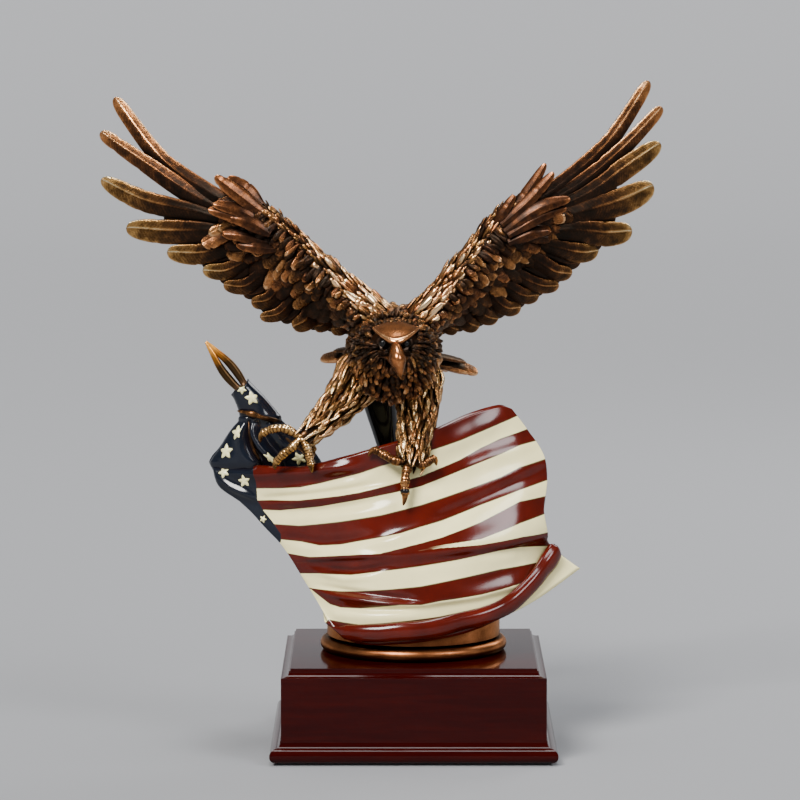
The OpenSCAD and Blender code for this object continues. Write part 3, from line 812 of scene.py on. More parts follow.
def build_torso():
    skin, front_skin = Skin(), Skin()
    ys = [FIRST_Y + (LAST_Y - FIRST_Y) * i / 39 for i in range(40)]
    skin.tube(np.array([[on_torso(y, -a)[0] for a in turns(40)] for y in ys]), (0, 0), 0.15, 0.1)
    y = LAST_Y - 2
    row = 0
    while y > FIRST_Y + 1:
        front = float(smooth(8, -28, y))
        girth = FULL_TURN * np.interp(y, [r[0] for r in TORSO], [r[3] for r in TORSO])
        count = int(girth / FEATHER_GAP)
        for k in range(count):
            angle = staggered(k, row, count)
            root, n = on_torso(y + sway(1.4), angle, -0.5)
            under = max(0.0, -sin(angle))
            way = unit(vec(0, 1, -0.8 * front * (1 - under)) + n * 0.12)
            way = turn(way, n, sway(24) * (0.5 + front))
            chest = front * under
            length = uniform(9, 14) - 3.5 * chest
            tip = root + way * length + n * (0.5 + 1.5 * rng.random())
            shape = pointed if rng.random() < 0.3 + 0.5 * front - 0.7 * chest else blunt
            quill(front_skin if y < 0 else skin, root, tip, n, uniform(0.6, 2.2),
                  uniform(3.8, 7.0) * (1 - 0.4 * chest), 2.2, COVERT, shape, cup=0.28,
                  tint=uniform(0, 0.6) * (1 - 0.7 * chest), worn=uniform(0.8, 3.2) * (1 - 0.2 * chest))
        y -= ROW_GAP
        row += 1
    skin.build("eagle_torso", [PLUMAGE], ["eagle_torso"], "bronze")
    front_skin.build("eagle_chest", [PLUMAGE], ["eagle_torso"], "bronze")


# ---------------------------------------------------------------- eagle: head

HEAD = vec(-11, -47, 181.5)
EYES = [vec(-17.2, -60.2, 183.5), vec(-4.8, -60.2, 183.5)]
BEAK = [(-10.4, -56, 182.6), (-10.2, -62, 182.2), (-9.8, -67, 179.2), (-9.1, -70, 174.8),
        (-8.3, -71, 169.8), (-7.6, -70, 165.0)]
BEAK_RADII = [2.4, 2.9, 4.1, 5.1, 3.4, 0.5]


def build_head():
    skin = Skin()

    def skull(i, a):
        u = -1 + 2 * (0.02 + 0.96 * i / 25)
        wide = sqrt(1 - u * u)
        p = HEAD + vec(14 * wide * cos(a), -14.2 * u, (11.5 - 1.5 * sin(a)) * wide * sin(a))
        for eye in EYES:
            p = p + vec(0, 3.6, 0) * exp(-(np.linalg.norm(p - eye) / 3.8) ** 2)
        return p

    rings = np.array([[skull(i, a) for a in turns(40)] for i in range(26)])
    skin.tube(rings, (0, 0), 0.16, 0.1, mark=1)
    crown(skin)
    beak(skin)
    face_feathers(skin)
    lores(skin)
    hackles(skin)
    skin.build("eagle_head", [PLUMAGE, POLISHED], ["eagle_head"], "bronze")


def on_crown(p, q):
    """A point on top of the head: p runs across, q from the nape at 0 to the brow at 1."""
    front = vec(-10.2 + 13.2 * p, -65.8 + 12 * abs(p) ** 1.7, 184.3 + 7.4 * abs(p) ** 1.8)
    back = vec(-10.8 + 12.6 * p, -32, 194.8 - 5.5 * p * p)
    dome = 4.4 * sin(pi * max(0.0, q) ** 1.2) ** 0.8 * (1 - 0.8 * p * p)
    return back * (1 - q) + front * q + vec(0, 0, dome)


def crown(skin):
    """A smooth forehead whose front edge is a bright curved brow, then the feathered nape."""
    across, deep = 56, 26
    rings = np.zeros((across, 2 * deep, 3))
    wear = np.zeros((across, 2 * deep))
    for i in range(across):
        p = -1 + 2 * i / (across - 1)
        for k, q in enumerate(shares(deep)):
            top = on_crown(p, q)
            groove = 0.04 * sin(24 * p + 5 * sin(3 * q)) * (1 - q) ** 0.5
            brow = 0.8 * exp(-((q - 0.97) / 0.04) ** 2)
            rings[i, k] = top + vec(0, 0, groove + brow)
            rings[i, 2 * deep - 1 - k] = top + vec(0, 0.8, -1.0 - 1.3 * (1 - abs(p)))
            wear[i, k] = 0.37 + 0.1 * q + 0.4 * exp(-((q - 0.98) / 0.035) ** 2)
            wear[i, 2 * deep - 1 - k] = 0.1
    skin.tube(rings[::-1], (0, 0), wear[::-1], 0.0, mark=1)
    for row in range(8):
        q = 0.46 - 0.07 * row
        for k in range(11):
            p = -1.05 + 2.1 * (k + 0.5 * (row % 2) + sway(0.3)) / 10
            root = on_crown(p, q) - vec(0, 0, 0.7)
            n = unit(vec(0.5 * p, -0.25, 1))
            way = turn(unit(vec(0.35 * p, 1, 0.1)), n, sway(26))
            tip = root + way * uniform(4.5, 7.5) + n * uniform(0.0, 1.0)
            quill(skin, root, tip, n, uniform(0.4, 1.2), uniform(2.2, 3.8), 1.5,
                  tint=uniform(0, 0.7), worn=uniform(0.7, 2.4))


def beak(skin):
    def hooked(t, a):
        ridge = 1 + 0.12 * max(0.0, sin(a)) ** 6
        return ridge * (1 - 0.12 * abs(cos(a)) * float(smooth(0.3, 0.9, t)))

    # the beak is painted lighter on its upper side, a painted highlight, and darker underneath, painted
    # shade; it also darkens towards the point
    round_tube(skin, BEAK, lambda t: along(BEAK_RADII, t), 44, 30,
               lambda t, a: (0.2 + 0.46 * max(0, sin(a)) ** 2) * (1 - 0.5 * t ** 3), 0.0,
               up=(0, -0.7, 0.7), mark=1, bump=hooked)
    lower = [(-10, -57, 175.5), (-9.6, -63, 174.6), (-9.2, -67, 172.6)]
    round_tube(skin, lower, lambda t: 3.8 - 2.3 * t, 12, 16, 0.4, 0.0, squash=0.6, mark=1)
    for side, reach in ((-1, 9.5), (1, 5.8)):
        gape = [(-9.2 + side * 3.2, -68.2, 174.6), (-9.6 + side * 5.2, -64.5, 175.7),
                (-10 + side * reach, -59, 175.8)]
        round_tube(skin, gape, lambda t: 2.3 - 2.9 * t + 1.0 * t * t, 14, 12,
                   lambda t, a: 0.4 - 0.3 * t, 0.0, mark=1)
        nostril = [(-9.6 + side * 2.6, -64.6, 181.2), (-9.6 + side * 3.2, -65.6, 180.2)]
        round_tube(skin, nostril, lambda t: 0.5, 5, 8, 0.0, 0.0)


def face_feathers(skin):
    """Narrow feathers that sweep out from the eyes over the cheeks."""
    for side in (-1, 1):
        for row in range(5):
            for k in range(8):
                f = k / 7
                a = radians(-72 + 88 * f + sway(5))
                r = 5.8 + 3.6 * row
                x = -10.8 + side * (3.4 + r * cos(a))
                z = 180.5 + r * sin(a) * 0.9
                y = -61.5 + 0.062 * r * r
                n = unit(vec(side * 0.1 * r * cos(a), -1, 0.1 * r * sin(a)))
                way = unit(vec(side * cos(a), 0.1 * r, sin(a) - 0.25))
                root = vec(x, y + 1.0, z)
                tip = root + way * uniform(6, 8.5) + n * 0.5
                quill(skin, root, tip, n, 1.2, uniform(2.2, 3.2), 1.7,
                      tint=uniform(0, 0.4), worn=uniform(0.3, 1.5))


def on_face(dx, dz):
    """A point on the front of the head, by its distance from the middle in x and z."""
    return HEAD + vec(dx, -14.2 * sqrt(max(0.02, 1 - (dx / 14) ** 2 - (dz / 11.8) ** 2)) - 0.4, dz)


def lores(skin):
    """Fine strands that leave the sides of the beak and pass below the eyes."""
    for side in (-1, 1):
        for row in range(2):
            for k in range(11):
                f = (k + 0.5 * row) / 11
                start, end = 2.6 + 3.2 * row, 7.5 + 4.0 * row
                z = -1.6 - 6.2 * f
                fall = 0.12 + 0.3 * f
                spots = [on_face(side * x, z - fall * (x - 2.6) + sway(0.25))
                         for x in (start, (start + end) / 2, end)]
                n = unit(vec(side * 0.3, -1, -0.1))
                spots[1] = spots[1] + n * 0.7
                feather(skin, spots, n, uniform(1.0, 1.6), 1.1, SCALE, pointed, cup=0.2,
                        tint=uniform(0, 0.4), worn=uniform(0.5, 2.2))


def hackles(skin):
    """Feathers that sweep back from the face over the neck, throat and chest."""
    for row in range(12):
        back = 1 - row / 11
        y = -59 + 25 * back
        grow = float(smooth(0, 0.85, back))
        rx, rz = 10.5 + 9 * grow, 9.5 + 12.5 * grow
        z0 = 179.5 - 4.5 * back
        count = 22 + int(20 * back)
        for k in range(count):
            a = staggered(k, row, count, 0.35)
            up = sin(a)
            if up > 0.25 + 0.85 * back:
                continue
            n = unit(vec(cos(a) / rx, -0.03, up / rz))
            root = vec(-10.8 + rx * cos(a), y + sway(1), z0 + rz * up) - n * 0.9
            throat = max(0.0, -up - 0.35)
            way = unit(vec(cos(a) * 0.35, 0.75, -max(0.0, 0.7 - up) * 0.8) + n * 0.08)
            way = turn(way, n, sway(22))
            length = uniform(8.5, 13.5) * (0.7 + 0.35 * back) * (1 - 0.45 * throat)
            tip = root + way * length + n * uniform(-0.4, 0.9)
            rise = uniform(0.8, 2.2)
            shape = blunt if rng.random() < 0.45 + 1.2 * throat else pointed
            quill(skin, root, tip, n, rise, uniform(2.2, 3.9), 2.0, COVERT, shape,
                  tint=uniform(0, 0.6) * (1 - throat), worn=uniform(0.7, 3.5) * (1 - 0.35 * throat))


def build_eyes():
    skin = Skin()
    for p in EYES:
        path = [p + vec(0, 2.45, 0), p, p - vec(0, 2.45, 0)]
        round_tube(skin, path, lambda t: 2.3 * sqrt(max(0.0009, 1 - (2 * t - 1) ** 2)), 25, 28, 0, 0)
    skin.build("eagle_eyes", [EYE], ["eagle_eyes"], "eye_gloss")


# ---------------------------------------------------------------- eagle: legs and tail

RIGHT_THIGH = [(-24, -6, 168), (-37, -13, 151), (-48, -20, 139), (-57, -24, 131), (-64, -26, 126)]
RIGHT_THIGH_R = [14, 9.8, 7.2, 4.6, 3.2]
RIGHT_TOES = [
    [(-64, -26, 126), (-73, -25, 131), (-81, -22, 130.5), (-87, -19, 127), (-88, -16, 122)],
    [(-64, -26, 126), (-69, -28, 121), (-75, -26, 116), (-79, -23, 111), (-79.5, -20, 107)],
    [(-64, -26, 126), (-61, -29, 121), (-59.5, -29, 115), (-58.5, -29, 110), (-58, -27, 106)],
    [(-64, -26, 126), (-61, -19, 124), (-59, -13, 121), (-58, -10, 116), (-58, -9, 112)]]
LEFT_THIGH = [(1, -5, 166), (2, -14, 146), (1, -22, 132), (0, -29, 121), (-1, -34, 114)]
LEFT_THIGH_R = [14, 10.4, 8.8, 6.8, 4.0]
LEFT_TOES = [
    [(-1, -34, 114), (-4, -39, 109), (-5, -41.5, 102), (-5, -42, 94), (-6, -41.5, 89)],
    [(-1, -34, 114), (-10, -37, 114), (-18, -35, 118), (-23, -33.5, 120), (-26, -33, 116)],
    [(-1, -34, 114), (5, -37, 112), (9, -37, 114), (12, -36, 115), (13, -34, 111)],
    [(-1, -34, 114), (2, -26, 119), (3, -20, 120), (4, -16, 116), (4, -16, 110)]]
CLAW_AT = 0.7
SCUTES = 11


def toe(skin, path, gold, bright):
    """A scaled toe with knuckles, then a smooth curved claw."""
    def gap(t):
        return (1 - abs(sin(pi * t / CLAW_AT * SCUTES))) ** 2.5

    def radius(t):
        if t < CLAW_AT:
            knuckle = 0.5 * cos(FULL_TURN * t / CLAW_AT * 1.5) ** 2
            return 2.55 - 0.35 * t / CLAW_AT + knuckle - 0.35 * gap(t)
        return 1.9 * (1 - (t - CLAW_AT) / (1 - CLAW_AT)) ** 0.75 + 0.12

    def wear(t, a):
        if t > CLAW_AT:
            return 0.42 + 0.2 * sin(a)
        return bright * (0.5 - 0.45 * gap(t) + 0.4 * max(0.0, sin(a)))

    knobs = 0.16 * (1 - bright)
    round_tube(skin, path, radius, 120, 18, wear, gold, squash=0.95, mark=1,
               bump=lambda t, a: 1 + knobs * sin(4 * a + 9 * t) * sin(31 * t + a))


def build_leg(name, thigh, radii, toes, feathered, gold):
    skin = Skin()
    bright = 1.0 if gold > 0.5 else 0.6
    round_tube(skin, thigh, lambda t: along(radii, t), 40, 24,
               lambda t, a: 0.1 + 0.3 * abs(sin(40 * t)), 0.5, mark=1,
               bump=lambda t, a: 1 + 0.07 * abs(sin(38 * t)) * float(smooth(0.6, 0.8, t)))
    rows = 14
    for row in range(rows):
        t = 0.04 + (feathered - 0.04) * (rows - 1 - row) / (rows - 1)
        c, d = along(thigh, t), tangent(thigh, t)
        side = unit(np.cross(d, vec(0, 1, 0)))
        top = np.cross(side, d)
        r = along(radii, t)
        count = max(8, int(FULL_TURN * r / 3.4))
        for k in range(count):
            a = staggered(k, row, count)
            n = side * cos(a) + top * sin(a)
            root = c + n * (r - 1.0)
            way = turn(unit(d - n * 0.05), n, sway(16))
            length = uniform(12, 20) * (1 - 0.35 * t)
            tip = root + way * length + n * uniform(0.1, 1.2)
            quill(skin, root, tip, n, uniform(1.0, 2.8), uniform(2.2, 4.2) * (1 - 0.15 * t), 2.1,
                  COVERT, tint=uniform(0.3, 1.0), worn=uniform(1.2, 4.2))
    for path in toes:
        toe(skin, path, gold, bright)
    heel = [thigh[-2], thigh[-1], tuple(vec(*thigh[-1]) + vec(0, 0, -3))]
    round_tube(skin, heel, lambda t: radii[-1] * (1.05 - 0.45 * t * t), 14, 18, 0.5, gold, mark=1,
               bump=lambda t, a: 1 + 0.12 * sin(5 * a + 3 * t) * sin(16 * t))
    if name == "left_leg":
        knuckle = [(-4.9, -41.7, 98.6), (-5, -41.9, 97.2), (-5, -41.9, 95.8)]
        round_tube(skin, knuckle, lambda t: 2.75 - 2.0 * (t - 0.5) ** 2, 7, 18, 0.0, 0.0, mark=2)
    skin.build(name, [PLUMAGE, POLISHED, GLOSS], [name], "bronze")


TAIL_ROOT = vec(-8, 52, 166)
TAIL_SPREAD, TAIL_LEN, TAIL_PITCH, TAIL_ROLL = 110, 68, -10, 5


def build_tail():
    skin = Skin()

    def world(p):
        p = turn(p, vec(0, 1, 0), TAIL_ROLL)
        return TAIL_ROOT + turn(p, vec(1, 0, 0), TAIL_PITCH)

    up = world(vec(0, 0, 1)) - TAIL_ROOT
    for face, count, share, thick, worn in ((-1, 9, 1.0, 6.2, 1.1), (1, 10, 0.78, 3.4, 0.5)):
        for f in shares(count):
            f = (f - 0.5) * (0.88 if face < 0 else 1)
            a = radians(TAIL_SPREAD * f)
            reach = TAIL_LEN * (1 - 0.45 * f * f) * share
            way = vec(sin(a), cos(a), 0)
            lift = 3 - 8 * abs(f) + face * 2.2
            root = world(way * 3 + vec(0, 0, lift * 0.3))
            tip = world(way * reach + vec(0, 0, lift))
            tilt = 44 * f + 12 * (1 if f > 0 else -1)
            n = turn(up, unit(tip - root), tilt if face < 0 else tilt * 0.3)
            feather(skin, [root, (root + tip) / 2 + up * 1.5, tip], n, 15, thick, FLIGHT, cup=0.1,
                    tint=0.15, worn=worn, ragged=0.12)
    for face in (1, -1):
        for row, (start, length, width) in enumerate([(20, 18, 8.5), (12, 17, 8), (4, 16, 7.5)]):
            count = 10 - row
            for k in range(count):
                f = (k + sway(0.2)) / (count - 1) - 0.5
                a = radians(TAIL_SPREAD * 0.95 * f)
                way = vec(sin(a), cos(a), 0)
                z = 3 - 8 * abs(f)
                root = world(way * start + vec(0, 0, z * 0.6 + face * (1.5 + row)))
                tip = world(way * (start + length) + vec(0, 0, z + face * (2.6 + row)))
                quill(skin, root, tip, up * face, 1.4, width, 2, COVERT, blunt, tint=0.25,
                      worn=uniform(0.7, 1.05))
    path = [TAIL_ROOT + vec(0, -6, 0), TAIL_ROOT + vec(0, 6, 0), world(vec(0, 22, 1))]
    round_tube(skin, path, lambda t: 9.5 - 3.5 * t, 12, 20, 0.1, 0.1, squash=0.75)
    skin.build("tail", [PLUMAGE], ["tail"], "bronze")


# ---------------------------------------------------------------- flag

FLAG_TOP = [(-117, 2, 107), (-91, -8, 108), (-65, -20, 109), (-39, -28, 116), (-22, -30, 121),
            (9, -26, 130), (32, -16, 139), (49, -7, 143), (56, -2, 141)]
FLAG_BOTTOM = [(-49, -38, 23), (-42, -44, 15), (-31, -50, 11), (-13, -54, 11), (9, -53, 13),
               (32, -46, 17), (52, -36, 24), (73, -22, 33), (97.5, 3, 46.5)]
FLAG_LEFT = [(-117, 2, 107), (-113, -1, 94.5), (-99, -5, 84.5), (-86.6, -10, 72.6), (-76.5, -14, 62),
             (-66, -20, 48), (-58, -27, 36), (-49, -38, 23)]
FLAG_RIGHT = [(56, -2, 141), (67, 0, 127), (76, 0, 113), (78, -4, 99), (76, -10, 83), (77, -8, 70),
              (81, -4, 60), (97.5, 3, 46.5)]
FLAG_T = 3.0
# lines between the stripes from the top edge down, as x and z
SEAMS = [
    [(-92, 107), (-65, 109.6), (-54, 112.4), (-42, 114.2), (-31, 117.7), (-8, 123.4), (9, 129.3),
     (27, 135.5), (38, 141.1), (51, 144)],
    [(-90, 94.8), (-77, 95.6), (-65, 96.9), (-54, 99.7), (-31, 106.2), (-19, 110.4), (9, 118.8),
     (27, 124.2), (50, 132.6), (58, 135.4)],
    [(-88, 87.8), (-65, 89.3), (-42, 92.7), (-31, 94.8), (-8, 100.7), (4, 104), (27, 113), (38, 118.7),
     (50, 123.7), (66, 128)],
    [(-87, 82.5), (-77, 82.6), (-54, 86.4), (-31, 91.4), (-8, 96.3), (4, 99), (27, 107.4), (50, 115.4),
     (61, 119.7), (72, 121.6)],
    [(-79, 74.4), (-65, 74.4), (-42, 77.9), (-19, 82.2), (4, 87.9), (26, 94.8), (50, 102.2),
     (61, 107.1), (77, 110.7)],
    [(-77, 65.9), (-65, 65.6), (-54, 64.3), (-42, 65.6), (-31, 68.2), (-8, 72.5), (15, 79.6),
     (38, 87.8), (61, 94.9), (77, 99)],
    [(-68, 57.5), (-59, 57.1), (-31, 60), (-19, 61.1), (-8, 63.8), (15, 69.7), (38, 77.9), (49, 82.9),
     (61, 88.4), (76, 89.9)],
    [(-65, 53.7), (-19, 58.6), (1, 63.3), (15, 65.9), (38, 68.8), (49, 72.5), (61, 76.7), (76, 80.5)],
    [(-65, 53.5), (-19, 58.5), (1, 63.1), (15, 64.6), (38, 65.7), (49, 67), (61, 68.7), (79, 69.1)],
    [(-65, 47.2), (-54, 48.5), (-36, 49.1), (-19, 52), (4, 55), (26, 58.1), (49, 61.9), (61, 62.9),
     (77, 61)],
    [(-57, 39), (-42, 39.1), (-31, 39.9), (4, 43.2), (26, 47.1), (49, 50.8), (69, 52.1)],
    [(-52, 34.4), (-48, 31.6), (-42, 30.4), (-31, 30.7), (-8, 33.2), (4, 33.1), (15, 35.1), (38, 37.4),
     (49, 39.4), (63, 42.3)],
    [(-48, 22.6), (-31, 21.3), (-8, 23.7), (15, 26.2), (38, 30.1), (49, 33.2), (61, 38.5)]]
# the blue field ends here, as z and x
CANTON_EDGE = [(64.6, -76.5), (69.2, -76.4), (75.3, -80.6), (81.9, -86.6), (87.7, -89.7), (99.4, -90.8),
               (106.9, -91.9)]
# rolled hem: centre and half height
HEM = [(-47, -40.5, 19, 2.2), (-39, -45.5, 17, 4.2), (-31, -49.5, 16.8, 5), (-19, -52.8, 17.3, 5.3),
       (-8, -54, 18.4, 5.5), (4, -53.8, 19.2, 5.5), (15, -51.6, 20.6, 5.5), (26, -48, 23.2, 5.2),
       (38, -43.6, 25.2, 5.2), (49, -37.6, 28.6, 5.2), (57.5, -33, 33, 5.4), (66, -26, 40, 5.4),
       (71, -21, 45, 5.8), (75.4, -15, 50, 6.3), (79.6, -10, 55, 6.7), (82.4, -5.5, 59.4, 6.4)]
# folds of the cloth: a line in x and z, its reach above and below, and its height; in mm
FOLDS = [
    ([(-104, 103.2), (-88, 102.8), (-73, 104.5), (-55, 106.7), (-34, 110.1)], 4.0, 3.0, 2.4),
    ([(-112, 98.5), (-105, 94), (-97, 91), (-88.5, 87.8)], 2.6, 2.0, 1.8),
    ([(-73, 98.1), (-53, 100.4), (-34, 104.8), (-23, 108.7)], 2.6, 2.6, -1.5),
    ([(-84, 89.6), (-60, 93), (-40, 96.5), (-25, 99.8)], 2.0, 1.6, -1.0),
    ([(-84, 86.2), (-60, 89.6), (-40, 93), (-23, 97), (-10, 100)], 1.9, 2.8, 1.5),
    ([(-82, 81.5), (-51, 84), (-23, 90)], 2.4, 3.0, -1.2),
    ([(-73, 77.3), (-29, 83.1), (14, 94)], 5.0, 7.0, 1.1),
    ([(-75, 67.3), (-51, 65.4), (-25, 70.5)], 3.0, 3.0, -1.3),
    ([(-18, 60.6), (5, 62.6), (36, 64.3), (58, 66.4), (80, 68.6)], 11.0, 4.2, 2.4),
    ([(10, 80), (36, 90), (60, 99), (78, 105)], 4.0, 6.0, -1.6),
    ([(-64, 55.6), (-45, 57.8), (-18, 60.4)], 3.4, 1.5, 2.0),
    ([(-54, 51.4), (-34, 51.2), (-16, 54.8)], 1.8, 2.2, -1.6),
    ([(-60, 50.6), (-40, 46.6), (-25, 48)], 2.4, 2.4, 1.1),
    ([(0, 56), (36, 60.5), (74, 62.5)], 3.0, 3.0, -1.2),
    ([(0, 33.4), (36, 36.6), (58, 41), (67, 46)], 10.0, 2.2, 2.6),
    ([(-53, 38), (-42, 36.4), (-18, 34), (5, 32.8)], 1.8, 2.2, 2.2),
    ([(-51, 41.2), (-29, 39.4), (-3, 37)], 1.6, 1.8, -1.2),
    ([(-47, 31), (-25, 30), (0, 31)], 1.6, 1.6, -1.2),
    ([(-49, 26), (-25, 26), (5, 27.4)], 3.0, 3.0, 1.0),
    ([(12, 117.4), (36, 128.3), (54, 135.9)], 7.0, 5.0, 1.3),
    ([(20, 106), (44, 114), (70, 120)], 5.0, 5.0, 1.2),
    ([(-66, 61), (-40, 62.5), (-15, 68), (10, 77)], 3.0, 4.0, 1.2)]


def flag_base(u, v):
    corners = ((1 - u) * (1 - v) * vec(*FLAG_TOP[0]) + u * (1 - v) * vec(*FLAG_RIGHT[0])
               + (1 - u) * v * vec(*FLAG_BOTTOM[0]) + u * v * vec(*FLAG_RIGHT[-1]))
    return ((1 - v) * along(FLAG_TOP, u) + v * along(FLAG_BOTTOM, u)
            + (1 - u) * along(FLAG_LEFT, v) + u * along(FLAG_RIGHT, v) - corners)


def line_height(points, x):
    """Height of a seam at x, carried on straight past its two ends."""
    (x0, z0), (x1, z1) = points[0], points[1]
    (x2, z2), (x3, z3) = points[-2], points[-1]
    first = (x0 - 40, z0 - 40 * (z1 - z0) / (x1 - x0))
    last = (x3 + 40, z3 + 40 * (z3 - z2) / (x3 - x2))
    xs, zs = zip(first, *points, last)
    return np.interp(x, xs, zs)


def fold(points, above, below, height, x, z):
    """How far one fold lifts each place on the cloth; it fades out at its two ends."""
    off = z - line_height(points, x)
    shape = np.exp(-(off / np.where(off > 0, above, below)) ** 2)
    x0, x1 = points[0][0], points[-1][0]
    return height * shape * smooth(x0 - 8, x0 + 12, x) * smooth(x1 + 9, x1 - 12, x)


def stripe_at(x, z):
    """Which stripe a place on the flag is in: 0 to 1 is the top red one."""
    s = np.zeros_like(x)
    for upper, lower in zip(SEAMS, SEAMS[1:]):
        a, b = line_height(upper, x), line_height(lower, x)
        s += np.clip((a - z) / np.maximum(a - b, 0.05), 0, 1)
    s += np.clip((line_height(SEAMS[-1], x) - z) / 12, 0, 0.95)
    s = np.clip(s, 0.03, None)
    hem_x = np.interp(z, [p[2] for p in HEM[9:]], [p[0] for p in HEM[9:]])
    return np.where((x > hem_x) & (z < 59), 13.5, s)


# x, z, radius and turn of each star
PANEL_STARS = [(-109.5, 103, 3.6, 30), (-97.5, 98.6, 3.9, 10), (-86.6, 77, 2.3, 50)]


def build_flag():
    skin = Skin()
    cols, rows = 250, 170
    base = np.array([[flag_base(u, v) for v in shares(rows)] for u in shares(cols)])
    normal = np.cross(np.gradient(base, axis=0), np.gradient(base, axis=1))
    normal /= np.linalg.norm(normal, axis=2, keepdims=True)
    x, z = base[..., 0], base[..., 2]
    stripe = stripe_at(x, z)
    v = np.linspace(0, 1, rows)[None, :]
    u = np.linspace(0, 1, cols)[:, None]
    relief = 0.4 * np.sin(FULL_TURN * 3 * v + 1.2 * u) * np.sin(pi * v)
    for row in FOLDS:
        relief = relief + fold(*row, x, z)
    inside = np.clip(np.minimum(np.minimum(u, 1 - u) * cols, np.minimum(v, 1 - v) * rows) / 3, 0, 1)
    front = base - normal * (relief * inside)[..., None]
    # the left end of the top edge tucks in behind
    front[..., 1] += 6 * np.exp(-((107.5 - z) / 2.2) ** 2) * smooth(-88, -96, x)
    back = base + normal * FLAG_T
    round_off = (1 - inside)[..., None] * 0.45
    front, back = front * (1 - round_off) + back * round_off, back * (1 - round_off) + front * round_off
    zs, xs = zip(*CANTON_EDGE)
    # how far right of the blue field each place is, in mm; below the field it does not matter
    across = x - np.interp(z, zs, xs)
    across = np.where(z < zs[0] - 1, 5.0, across)
    rings = np.concatenate([front[:, ::-1], back], axis=1)
    uv = np.stack([np.concatenate([across[:, ::-1], across], 1),
                   np.concatenate([stripe[:, ::-1], stripe], 1)], -1)
    # a cream stripe that closes up on the left is painted red where it is narrowest
    pinched = smooth(2.2, 0.7, line_height(SEAMS[7], x) - line_height(SEAMS[8], x))
    pinched = pinched * smooth(1.6, 0.8, np.abs(z - line_height(SEAMS[7], x)))
    skin.tube(rings, uv, 0.5, np.concatenate([pinched[:, ::-1], pinched], 1))
    hem(skin)
    cloth = skin.build("flag_panel", [STRIPED, STAR_PAINT], ["flag_panel"], "flag_enamel")
    add_stars("flag_panel", cloth, PANEL_STARS, [])


def hem(skin):
    """The rolled lower edge, one red stripe that curls up over the right end."""
    path = [p[:3] for p in HEM]
    halves = [p[3] for p in HEM]
    rows, sides = 150, 24
    rings = np.zeros((rows, sides, 3))
    for i, t in enumerate(shares(rows)):
        c, d, h = along(path, t), tangent(path, t), along(halves, t)
        out = unit(np.cross(d, vec(0, 0, 1)))
        out = unit(out if out[1] < 0 else -out)
        up = np.cross(out, d)
        up = unit(up if up[2] > 0 else -up)
        h *= min(1.0, 0.08 + 14 * t, 0.55 + 14 * (1 - t))
        for k, a in enumerate(turns(sides)):
            crease = 0.8 * exp(-((a - pi * 0.32) / 0.16) ** 2) * float(smooth(0.25, 0.5, t))
            rings[i, k] = c + up * sin(a) * h + out * (cos(a) * h * 0.62 - crease)
    skin.tube(rings, (5.0, 12.5), 0.5, 0.0)


# share of a star's radius and height over the cloth, from its foot to its middle
STAR_LEVELS = ((1.0, -0.5), (1.0, 0.25), (0.9, 0.5), (0.12, 0.75))
STAR_SIDES = 40
# rays towards the cloth start this far out, in metres
FAR = 0.3


def in_world(p):
    """From sculpture coordinates to metres; in_mm goes back."""
    return Vector((p + vec(0, 0, TOP_Z)) * MM)


def in_mm(v):
    return np.array(v) / MM - vec(0, 0, TOP_Z)


def add_stars(name, cloth, front, back):
    """Raised five-pointed stars laid on the front and the back of the cloth."""
    skin = Skin()
    mesh = cloth.data
    tree = BVHTree.FromPolygons([v.co for v in mesh.vertices], [p.vertices for p in mesh.polygons])
    for face, stars in ((-1, front), (1, back)):
        for x, z, radius, tilt in stars:
            start = Vector((x * MM, face * FAR, (z + TOP_Z) * MM))
            hit, n, _, _ = tree.ray_cast(start, Vector((0, -face, 0)))
            centre, n = in_mm(hit), np.array(n)
            n = n if n[1] * face > 0 else -n
            side = unit(np.cross(n, vec(0, 0, 1)))
            up = np.cross(side, n)
            rings = np.zeros((len(STAR_LEVELS), STAR_SIDES, 3))
            for r, (share, lift) in enumerate(STAR_LEVELS):
                for k, a in enumerate(turns(STAR_SIDES)):
                    point = abs(((k / STAR_SIDES * 5) % 1) - 0.5) * 2
                    reach = radius * share * (0.5 + 0.5 * point ** 1.25)
                    a += radians(tilt)
                    p = centre + side * reach * sin(a) + up * reach * cos(a)
                    rings[r, k] = in_mm(tree.find_nearest(in_world(p))[0]) + n * lift
            skin.tube(rings if face > 0 else rings[:, ::-1], (0, 0), 0.5, 0.0)
    skin.build(name + "_stars", [STAR_PAINT], [name], "flag_enamel")


# centre, half width vector, half depth of the cloth gathered on the staff, from the top down
GATHER = [((-99.3, 4, 150.4), (4.9, 0, 4.2), 6), ((-94.8, 4, 144.2), (7.2, 0, 3.8), 6.6),
          ((-91.1, 5, 138.2), (9.9, 0, 2), 7.6), ((-89, 5, 134), (12.4, 0, 0.4), 8.6),
          ((-89.1, 6, 126.2), (17.7, 0, 1.1), 11), ((-87.7, 7, 117.5), (24.9, 0, 1.5), 13),
          ((-86.3, 8, 110.8), (30.4, 0, 0.5), 14), ((-85.2, 9, 105.5), (32.4, 0, 0), 14),
          ((-80, 10, 95), (30, 0, 0), 13.5), ((-69, 9, 84), (28.5, 0, 0), 14),
          ((-57, 7, 72), (27, 0, 0), 16), ((-43, 3, 57), (26, 0, 0), 20),
          ((-27, -4, 42), (29, 0, 0), 25), ((-12, -13, 30), (34, 0, 0), 30),
          ((-8, -15, 24.2), (35, 0, 0), 32)]
# pleats in front: height as a share of the radius, angle from the first one, and width, in radians
PLEATS = [(0.13, -0.22, 0.15), (-0.28, 0.02, 0.09), (0.16, 0.22, 0.10), (-0.32, 0.58, 0.20),
          (0.10, 0.92, 0.12), (-0.18, 1.25, 0.14)]
# the inner side of the cloth's mouth: share of its width and depth below the lip
MOUTH = [(0.3, 4.5), (0.7, 4.2), (0.78, 2.0), (0.84, 0.4), (0.94, -0.2)]
